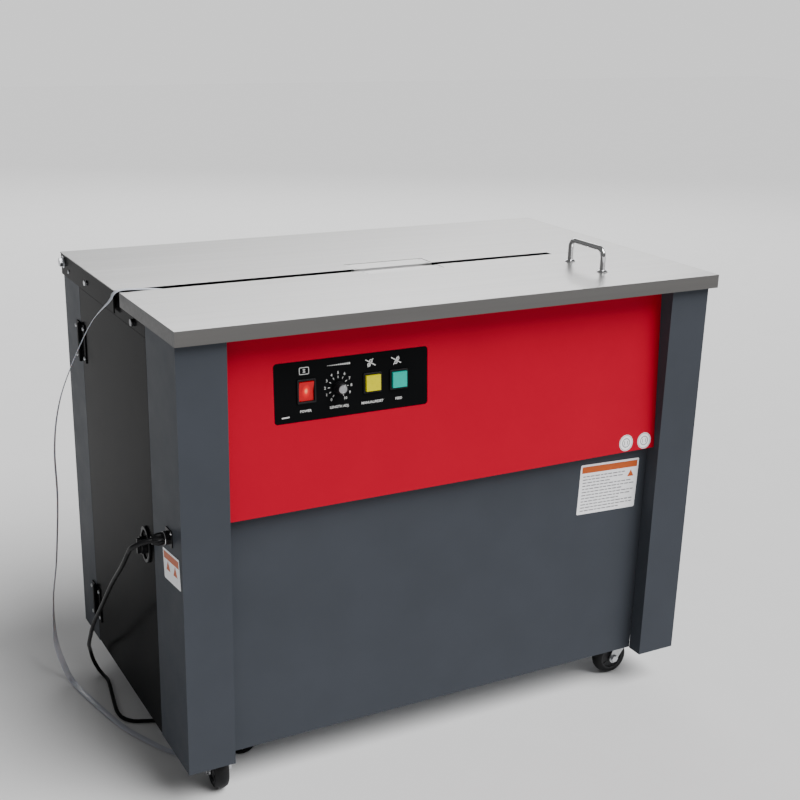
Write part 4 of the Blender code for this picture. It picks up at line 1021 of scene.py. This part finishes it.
def gland_plate():
    """A black plastic cable gland: square plate, hexagonal body, ribbed dome nut and a thin plated ring."""
    there = facing((side_x, -0.213, 0.415), LEFT)
    shape = Build()
    shape.prism(rounded(-0.0135, -0.0125, 0.0135, 0.0125, 0.0030, 6), 0.0, 0.0016, there)
    shape.make("gland_plate", BLACK, "cabinet", bevel=0.0004)
    body = Build()
    body.lathe([(0.0, 0.0012), (0.0098, 0.0012), (0.0098, 0.0072), (0.0090, 0.0082), (0.0, 0.0082)], 6, there)
    steps = 36
    outline = []
    for radius, height, ridge in ((0.0082, 0.0080, 0.0002), (0.0086, 0.0092, 0.0004), (0.0086, 0.0170, 0.0004),
                                  (0.0074, 0.0215, 0.0003), (0.0056, 0.0262, 0.0001)):
        for step in range(steps):
            angle = 2 * math.pi * step / steps
            r = radius + (ridge if step % 2 else -ridge)
            outline.append((r * math.cos(angle), r * math.sin(angle), height))
    faces = [list(range(steps))[::-1], [4 * steps + step for step in range(steps)]] + quads(5, steps)
    body.add(outline, faces, there)
    made = body.make("gland_body", BLACK, "cabinet", smooth=30)
    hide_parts("cable_gland")
    collar = Build()
    collar.lathe([(0.0080, 0.0081), (0.0094, 0.0081), (0.0096, 0.0086), (0.0094, 0.0091), (0.0080, 0.0091)], 36, there)
    collar.make("gland_collar", CHROME, "cabinet", smooth=40)
    pan_screws("gland_screws", [(side_x - 0.0016, -0.2240, 0.4245), (side_x - 0.0016, -0.2020, 0.4055)], LEFT, 0.0020,
               CHROME, "cabinet")


gland_plate()


# Panel screws: right side, rear cover
right_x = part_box("right_side_panel")[1][0]
pan_screws("right_side_screws", [(right_x, y, z) for y in (-0.128, 0.176) for z in (0.085, 0.380, 0.672)], RIGHT,
           0.0042, ZINC, "cabinet")
rear_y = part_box("rear_panel")[1][1]
pan_screws("rear_panel_screws", [(x, rear_y, z) for x in (-0.358, 0.354) for z in (0.085, 0.380, 0.672)], BACK, 0.0042,
           ZINC, "cabinet")


def louvres():
    """Pressed hoods over the slots of the rear cover."""
    shape = Build()
    for row in range(6):
        z = 0.360 + row * 0.022
        steps = 6
        vertices, faces = [], []
        for x in (-0.0735, -0.0700, 0.0700, 0.0735):
            edge = abs(x) > 0.072
            for i in range(steps + 1):
                t = i / steps
                depth = 0.0 if edge else 0.0062 * math.sin(math.pi / 2 * (1 - t))
                vertices.append((x, rear_y + 0.0001 + depth, z - 0.003 + 0.0135 * t))
        for column in range(3):
            for i in range(steps):
                a = column * (steps + 1) + i
                faces.append([a, a + steps + 1, a + steps + 2, a + 1])
        shape.add(vertices, faces)
    made = shape.make("rear_louvres", GREY, "cabinet", smooth=50)
    shell = made.modifiers.new("sheet", "SOLIDIFY")
    shell.thickness = 0.0009


louvres()


# Castors
def castor(corner):
    name = "castor_wheel_" + corner
    fork = "castor_fork_" + corner
    joint = next(j for j in frame["joints"] if j["name"] == "castor_roll_" + corner)
    low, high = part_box(name)
    centre = (Vector(low) + Vector(high)) / 2
    there = facing(centre, joint["axis"])
    tyre = Build()
    tyre.lathe([(0.0225, 0.0108), (0.0262, 0.0106), (0.0290, 0.0090), (0.0307, 0.0058), (0.0314, 0.0020),
                (0.0314, -0.0020), (0.0307, -0.0058), (0.0290, -0.0090), (0.0262, -0.0106), (0.0225, -0.0108)], 48, there)
    made = tyre.make("tyre_" + corner, TYRE, name, smooth=60)
    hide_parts(name)
    hub = Build()
    hub.lathe([(0.0043, 0.0112), (0.0090, 0.0112), (0.0100, 0.0090), (0.0185, 0.0078), (0.0200, 0.0104), (0.0228, 0.0106),
               (0.0228, -0.0106), (0.0200, -0.0104), (0.0185, -0.0078), (0.0100, -0.0090), (0.0090, -0.0112),
               (0.0043, -0.0112)], 40, there)
    for spoke in range(5):
        turn = there @ Matrix.Rotation(2 * math.pi * spoke / 5, 4, "Z")
        for side in (-1, 1):
            z0, z1 = sorted((side * 0.0079, side * 0.0094))
            hub.block((0.0095, -0.0012, z0), (0.0188, 0.0012, z1), turn)
    hub.make("hub_" + corner, HUB, name, smooth=40)
    nut = Build()
    for side in (-1, 1):
        end = there @ Matrix.Translation((0, 0, side * 0.0160)) @ Matrix.Rotation(0 if side > 0 else math.pi, 4, "X")
        nut.lathe([(0.0, 0.0), (0.0068, 0.0), (0.0068, 0.0032), (0.0060, 0.0040), (0.0, 0.0040)], 6, end)
    nut.make("axle_nuts_" + corner, ZINC, fork, smooth=30)
    soften(fork, 0.0004)
    race = Build()
    fork_low, fork_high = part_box(fork)
    swivel = next(j for j in frame["joints"] if j["name"] == "castor_swivel_" + corner)
    pos = Vector(swivel["pos_m"])
    top = Matrix.Translation((pos.x, pos.y, 0.0))
    race.lathe([(0.0212, 0.0702), (0.0225, 0.0712), (0.0225, 0.0738), (0.0212, 0.0746), (0.0208, 0.0735),
                (0.0208, 0.0712)], 36, top)
    race.make("race_ring_" + corner, ZINC, fork, smooth=40)
    plate = [(pos.x + sx * 0.023, pos.y + sy * 0.023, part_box("base_pan")[0][2]) for sx in (-1, 1) for sy in (-1, 1)]
    hex_bolts("castor_bolts_" + corner, plate, (0, 0, -1), 0.0080, ZINC, "cabinet", washer=False)


for corner_name in ("front_left", "front_right", "rear_left", "rear_right"):
    castor(corner_name)


# Inside: reel, drive, transformer, board and strapping head
REEL_Y, REEL_Z = 0.010, 0.275
DRIVE_Y, MOTOR_Z, GEARBOX_Z = -0.015, 0.400, 0.600


def wound_strap():
    """The roll of strap, wound turn beside turn across the drum."""
    low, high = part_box("strap_roll")
    turns, radius, drum = 14, 0.1438, 0.0990
    pitch = (high[0] - low[0]) / turns
    profile = [(drum, 0.0)]
    for turn in range(turns):
        rise = 0.0004 * ((turn * 5) % 3)
        start = turn * pitch
        profile += [(radius - 0.0016, start + 0.0001), (radius - rise, start + 0.0007),
                    (radius - rise, start + pitch - 0.0007), (radius - 0.0016, start + pitch - 0.0001)]
    profile.append((drum, high[0] - low[0]))
    roll = Build().lathe(profile, 64, facing((low[0], REEL_Y, REEL_Z), RIGHT))
    made = roll.make("wound_strap", WOUND, "reel", smooth=30)
    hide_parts("strap_roll")


def reel_details():
    """Pressed ribs, a rolled rim, a hub nut and bolts on the outer flange, and the stand's foot bolts."""
    face = -0.4020
    there = facing((face, REEL_Y, REEL_Z), LEFT)
    ribs = Build()
    for index in range(6):
        turn = there @ Matrix.Rotation(math.radians(60 * index + 12), 4, "Z")
        ribs.prism(rounded(0.034, -0.0065, 0.142, 0.0065, 0.0060, 6), 0.0, 0.0022, turn)
    ribs.make("reel_ribs", FIBRE, "reel", smooth=40, bevel=0.0012, segments=3)
    rim = Build()
    rim.lathe([(0.1500, 0.0), (0.1508, 0.0018), (0.1530, 0.0026), (0.1560, 0.0024), (0.1574, 0.0010), (0.1574, 0.0)],
              72, there)
    rim.make("reel_rim", FIBRE, "reel", smooth=50)
    nut = Build()
    nut.lathe([(0.0106, 0.0106), (0.0170, 0.0106), (0.0170, 0.0150), (0.0158, 0.0162), (0.0106, 0.0162)], 6, there)
    nut.make("reel_hub_nut", ZINC, "reel", smooth=30)
    places = [(face, REEL_Y + 0.0265 * math.cos(a), REEL_Z + 0.0265 * math.sin(a))
              for a in [math.radians(90 * i + 45) for i in range(4)]]
    hex_bolts("reel_hub_bolts", places, LEFT, 0.0060, ZINC, "reel", washer=False)
    foot = [(x, y, 0.0900) for x in (-0.2300, -0.1600) for y in (REEL_Y - 0.045, REEL_Y + 0.045)]
    hex_bolts("reel_stand_bolts", foot, UP, 0.0090, ZINC, "cabinet")


def motor_details():
    """Cooling fins, an end cap, the slotted fan cover, a terminal box and the through bolts."""
    y, z = DRIVE_Y, MOTOR_Z
    there = facing((0.0, y, z), RIGHT)
    fins = Build()
    for index in range(30):
        angle = math.radians(12 * index)
        if abs(math.degrees(angle) - 90) < 25:
            continue
        turn = there @ Matrix.Rotation(angle, 4, "Z")
        fins.block((0.0545, -0.0009, 0.0980), (0.0588, 0.0009, 0.2280), turn)
    fins.make("motor_fins", MOTOR_BLUE, "cabinet", bevel=0.0004)
    caps = Build()
    caps.lathe([(0.0300, 0.2345), (0.0540, 0.2345), (0.0562, 0.2330), (0.0562, 0.2290), (0.0540, 0.2290),
                (0.0300, 0.2360)], 40, there)
    caps.make("motor_end_cap", CAST, "cabinet", smooth=40)
    fan = Build()
    for index in range(12):
        turn = there @ Matrix.Rotation(math.radians(30 * index), 4, "Z")
        fan.block((0.0150, -0.0022, 0.0692), (0.0440, 0.0022, 0.0701), turn)
    fan.lathe([(0.0, 0.0690), (0.0090, 0.0690), (0.0090, 0.0701), (0.0, 0.0701)], 28, there)
    fan.make("motor_fan_grille", DARK_HOLE, "cabinet")
    terminal = Build()
    terminal.prism(rounded(0.128, 0.378, 0.192, 0.424, 0.004), 0.066, 0.091,
                   Matrix(((1, 0, 0, 0), (0, 0, -1, 0), (0, 1, 0, 0), (0, 0, 0, 1))))
    terminal.make("motor_terminal_box", MOTOR_BLUE, "cabinet", bevel=0.0012, segments=3)
    lid = [(x, -0.091, h) for x in (0.134, 0.186) for h in (0.384, 0.418)]
    pan_screws("motor_terminal_screws", lid, FRONT, 0.0030, ZINC, "cabinet")
    bolts = [(0.2350, y + 0.044 * math.cos(a), z + 0.044 * math.sin(a)) for a in
             [math.radians(90 * i + 45) for i in range(4)]]
    hex_bolts("motor_through_bolts", bolts, RIGHT, 0.0060, ZINC, "cabinet", washer=False)


def gearbox_details():
    """Cover bolts, cooling ribs and the oil plug of the reduction gearbox."""
    places = [(x, -0.0750, z) for x in (0.1585, 0.2265) for z in (0.5685, 0.6300)]
    hex_bolts("gearbox_front_bolts", places, FRONT, 0.0070, ZINC, "cabinet")
    places = [(x, 0.0450, z) for x in (0.1585, 0.2265) for z in (0.5685, 0.6300)]
    hex_bolts("gearbox_rear_bolts", places, BACK, 0.0070, ZINC, "cabinet")
    ribs = Build()
    for index in range(7):
        y = -0.060 + 0.015 * index
        ribs.block((0.1560, y - 0.0012, 0.5562), (0.2290, y + 0.0012, 0.5604))
    ribs.make("gearbox_ribs", CAST, "cabinet", bevel=0.0004)
    boss = Build()
    boss.lathe([(0.0, 0.0), (0.0200, 0.0), (0.0185, 0.0032), (0.0110, 0.0036), (0.0110, 0.0014), (0.0, 0.0014)], 36,
               facing((0.1925, -0.0749, 0.6000), FRONT))
    boss.make("gearbox_bearing_cap", CAST, "cabinet", smooth=40)
    hex_bolts("gearbox_oil_plug", [(0.1925, 0.0450, 0.5800)], BACK, 0.0100, BRASS, "cabinet")
    mounts = [(x, y, 0.6497) for x in (0.1760, 0.2090) for y in (-0.0850, 0.0650)]
    hex_bolts("gearbox_mount_bolts", mounts, UP, 0.0080, ZINC, "cabinet")
    for name, z in (("gearbox", GEARBOX_Z), ("motor", MOTOR_Z)):
        nut = Build()
        nut.lathe([(0.0, 0.2712), (0.0086, 0.2712), (0.0086, 0.2762), (0.0076, 0.2774), (0.0, 0.2774)], 6,
                  facing((0.0, DRIVE_Y, z), RIGHT))
        nut.make(name + "_pulley_nut", ZINC, name + "_pulley", smooth=30)


def belt_teeth():
    """The ribs moulded across the back of the belt's straight runs."""
    low_reach, high_reach, count = 0.0247, 0.0472, 22
    shape = Build()
    low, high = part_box("drive_belt")
    for side in (-1, 1):
        for index in range(count):
            share = (index + 0.5) / count
            z = MOTOR_Z + (GEARBOX_Z - MOTOR_Z) * share
            reach = low_reach + (high_reach - low_reach) * share
            shape.block((low[0] + 0.0006, DRIVE_Y + side * reach - 0.0005, z - 0.0018),
                        (high[0] - 0.0006, DRIVE_Y + side * reach + 0.0005, z + 0.0018))
    shape.make("belt_ribs", RUBBER, "cabinet")


def transformer_details():
    """Laminations, copper winding and two mounting bolts."""
    core = Build()
    for index in range(15):
        y = 0.1102 + index * 0.00333
        inset = 0.0004 * (index % 2)
        core.block((0.300 + inset, y, 0.0850), (0.370 - inset, y + 0.0030, 0.1450 - inset))
    made = core.make("transformer_core", STEEL, "cabinet")
    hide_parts("transformer")
    winding = Build()
    for low_y, high_y in ((0.0985, 0.1100), (0.1600, 0.1715)):
        winding.prism(rounded(0.311, 0.096, 0.359, 0.134, 0.007, 6), low_y, high_y,
                      Matrix(((1, 0, 0, 0), (0, 0, 1, 0), (0, 1, 0, 0), (0, 0, 0, 1))))
    winding.make("transformer_winding", COPPER, "cabinet", bevel=0.0015, segments=3)
    hex_bolts("transformer_bolts", [(0.3055, 0.108, 0.1390), (0.3645, 0.108, 0.1390)], FRONT, 0.0055, ZINC, "cabinet",
              washer=False)


def board_details():
    """Relays, capacitors, a heat sink, terminals and small parts on the board's rear face."""
    face = -0.2004
    relays, caps, sink, terminals, chips, tops = Build(), Build(), Build(), Build(), Build(), Build()
    flat = Matrix(((1, 0, 0, 0), (0, 0, 1, 0), (0, 1, 0, 0), (0, 0, 0, 1)))
    for x, z in ((-0.2405, 0.5905), (-0.2205, 0.5905), (-0.2005, 0.5905)):
        relays.prism(rounded(x - 0.0080, z - 0.0095, x + 0.0080, z + 0.0095, 0.0012), face, face + 0.0155, flat)
    for x, z, radius, tall in ((-0.1780, 0.5900, 0.0060, 0.0180), (-0.1625, 0.5900, 0.0060, 0.0180),
                               (-0.1310, 0.6100, 0.0042, 0.0120), (-0.1200, 0.6100, 0.0042, 0.0120)):
        there = facing((x, face, z), BACK)
        caps.lathe([(0.0, 0.0), (radius, 0.0), (radius, tall - 0.0006), (radius - 0.0008, tall), (0.0, tall)], 24, there)
        tops.lathe([(0.0, tall), (radius * 0.8, tall), (radius * 0.8, tall + 0.0002), (0.0, tall + 0.0002)], 24, there)
    for index in range(7):
        x = -0.1160 + index * 0.0048
        sink.prism([(x, 0.622), (x + 0.0016, 0.622), (x + 0.0016, 0.658), (x, 0.658)], face, face + 0.0170, flat)
    sink.prism([(-0.1170, 0.622), (-0.0850, 0.622), (-0.0850, 0.658), (-0.1170, 0.658)], face, face + 0.0030, flat)
    for index in range(8):
        x = -0.2790 + index * 0.0062
        terminals.prism([(x, 0.5635), (x + 0.0056, 0.5635), (x + 0.0056, 0.5745), (x, 0.5745)], face, face + 0.0110,
                        flat)
    for index in range(26):
        x = -0.2760 + 0.0075 * index
        z = 0.6110 + 0.0036 * ((index * 7) % 4)
        chips.prism([(x, z), (x + 0.0042, z), (x + 0.0042, z + 0.0022), (x, z + 0.0022)], face, face + 0.0012, flat)
    relays.make("board_relays", MOTOR_BLUE, "cabinet", bevel=0.0004)
    caps.make("board_capacitors", BLACK, "cabinet", smooth=40)
    tops.make("board_capacitor_tops", CHROME, "cabinet", smooth=40)
    sink.make("board_heat_sink", CAST, "cabinet")
    terminals.make("board_terminals", GREEN, "cabinet", bevel=0.0003)
    chips.make("board_small_parts", BLACK, "cabinet")
    corners = [(x, face, z) for x in (-0.2815, -0.0735) for z in (0.5640, 0.6610)]
    pan_screws("board_screws", corners, BACK, 0.0022, ZINC, "cabinet")


def head_details():
    """Screws, roller ribs, springs and the rail bolts of the strapping head."""
    screws = [(x, y, 0.7215) for x in (-0.0640, 0.0640) for y in (-0.0560, -0.0435)]
    screws += [(x, y, 0.7215) for x in (-0.0640, 0.0640) for y in (-0.0160, 0.0080)]
    flush = Build()
    for index, place in enumerate(screws):
        there = facing(place, UP) @ Matrix.Rotation(0.6 * index, 4, "Z")
        flush.lathe([(0.0, 0.0), (0.0030, 0.0), (0.0029, 0.0002), (0.0013, 0.0002), (0.0011, -0.0008), (0.0, -0.0008)], 6,
                    there)
    flush.make("head_cover_screws", ZINC, "cabinet", smooth=30)
    sides = [(x, -0.0580, z) for x in (-0.070, 0.064) for z in (0.590, 0.630, 0.660)]
    hex_bolts("head_side_bolts", sides, FRONT, 0.0060, GUNMETAL, "cabinet", washer=False)
    rails = [(x, y, 0.6763) for x in (-0.060, 0.060) for y in (-0.0850, 0.0650)]
    hex_bolts("head_rail_bolts", rails, UP, 0.0085, ZINC, "cabinet")
    for name, z, radius, count in (("pinch_roller", 0.683, 0.0120, 26), ("feed_roller", 0.655, 0.0150, 30)):
        ribs = Build()
        for index in range(count):
            turn = facing((0.108, -0.030, z), BACK) @ Matrix.Rotation(2 * math.pi * index / count, 4, "Z")
            ribs.block((radius - 0.0006, -0.0005, -0.0186), (radius + 0.0001, 0.0005, 0.0186), turn)
        ribs.make(name + "_ribs", STEEL if name == "pinch_roller" else RUBBER, name)
    coils = []
    for x in (-0.0720, 0.0655):
        coils.append([Vector((x + 0.0036 * math.cos(0.55 * i), 0.0035 + 0.0036 * math.sin(0.55 * i), 0.6100 + 0.0005 * i))
                      for i in range(110)])
    for index, line in enumerate(coils):
        tube_along(line, [0.00055] * len(line), 8).make("head_spring_%d" % (index + 1), STEEL, "cabinet", smooth=60)


wound_strap()
reel_details()
motor_details()
gearbox_details()
belt_teeth()
transformer_details()
board_details()
head_details()


# Studio
def studio():
    reach = 12.0
    floor_mesh = bpy.data.meshes.new("floor")
    floor_mesh.from_pydata([(-reach, -reach, 0), (reach, -reach, 0), (reach, reach, 0), (-reach, reach, 0)], [],
                           [[0, 1, 2, 3]])
    floor = bpy.data.objects.new("floor", floor_mesh)
    bpy.context.scene.collection.objects.link(floor)
    floor.location.z = -0.0006
    floor_mesh.materials.append(shader("floor", (0.80, 0.80, 0.80), 0.85, mottle=0.01, depth=0.00001, grain=200.0,
                                       specular=0.1))
    world = bpy.data.worlds.new("studio")
    bpy.context.scene.world = world
    world.use_nodes = True
    tree = world.node_tree
    background = tree.nodes["Background"]
    background.inputs[0].default_value = (1.0, 1.0, 1.0, 1)
    background.inputs[1].default_value = WORLD_FILL
    backdrop = tree.nodes.new("ShaderNodeBackground")
    backdrop.inputs[0].default_value = (1.0, 1.0, 1.0, 1)
    backdrop.inputs[1].default_value = BACKDROP
    path = tree.nodes.new("ShaderNodeLightPath")
    mix = tree.nodes.new("ShaderNodeMixShader")
    tree.links.new(path.outputs["Is Camera Ray"], mix.inputs[0])
    tree.links.new(background.outputs[0], mix.inputs[1])
    tree.links.new(backdrop.outputs[0], mix.inputs[2])
    tree.links.new(mix.outputs[0], tree.nodes["World Output"].inputs["Surface"])

    def lamp(name, kind, place, aim, power, **options):
        data = bpy.data.lights.new(name, kind)
        data.energy = power
        for key, value in options.items():
            setattr(data, key, value)
        made = bpy.data.objects.new(name, data)
        bpy.context.scene.collection.objects.link(made)
        made.location = place
        made.rotation_euler = (Vector(aim) - Vector(place)).to_track_quat("-Z", "Y").to_euler()
        return made

    lamp("sun", "SUN", (2.0, -2.5, 4.0), (0.0, 0.0, 0.0), SUN, angle=math.radians(45))
    card = lamp("table_card", "AREA", (2.2, 4.6, 2.7), (0.0, 0.0, 0.7), 85, size=4.5, shape="RECTANGLE", size_y=1.6)
    card.visible_camera = False


WORLD_FILL, BACKDROP, SUN = 0.17, 1.05, 4.6
studio()
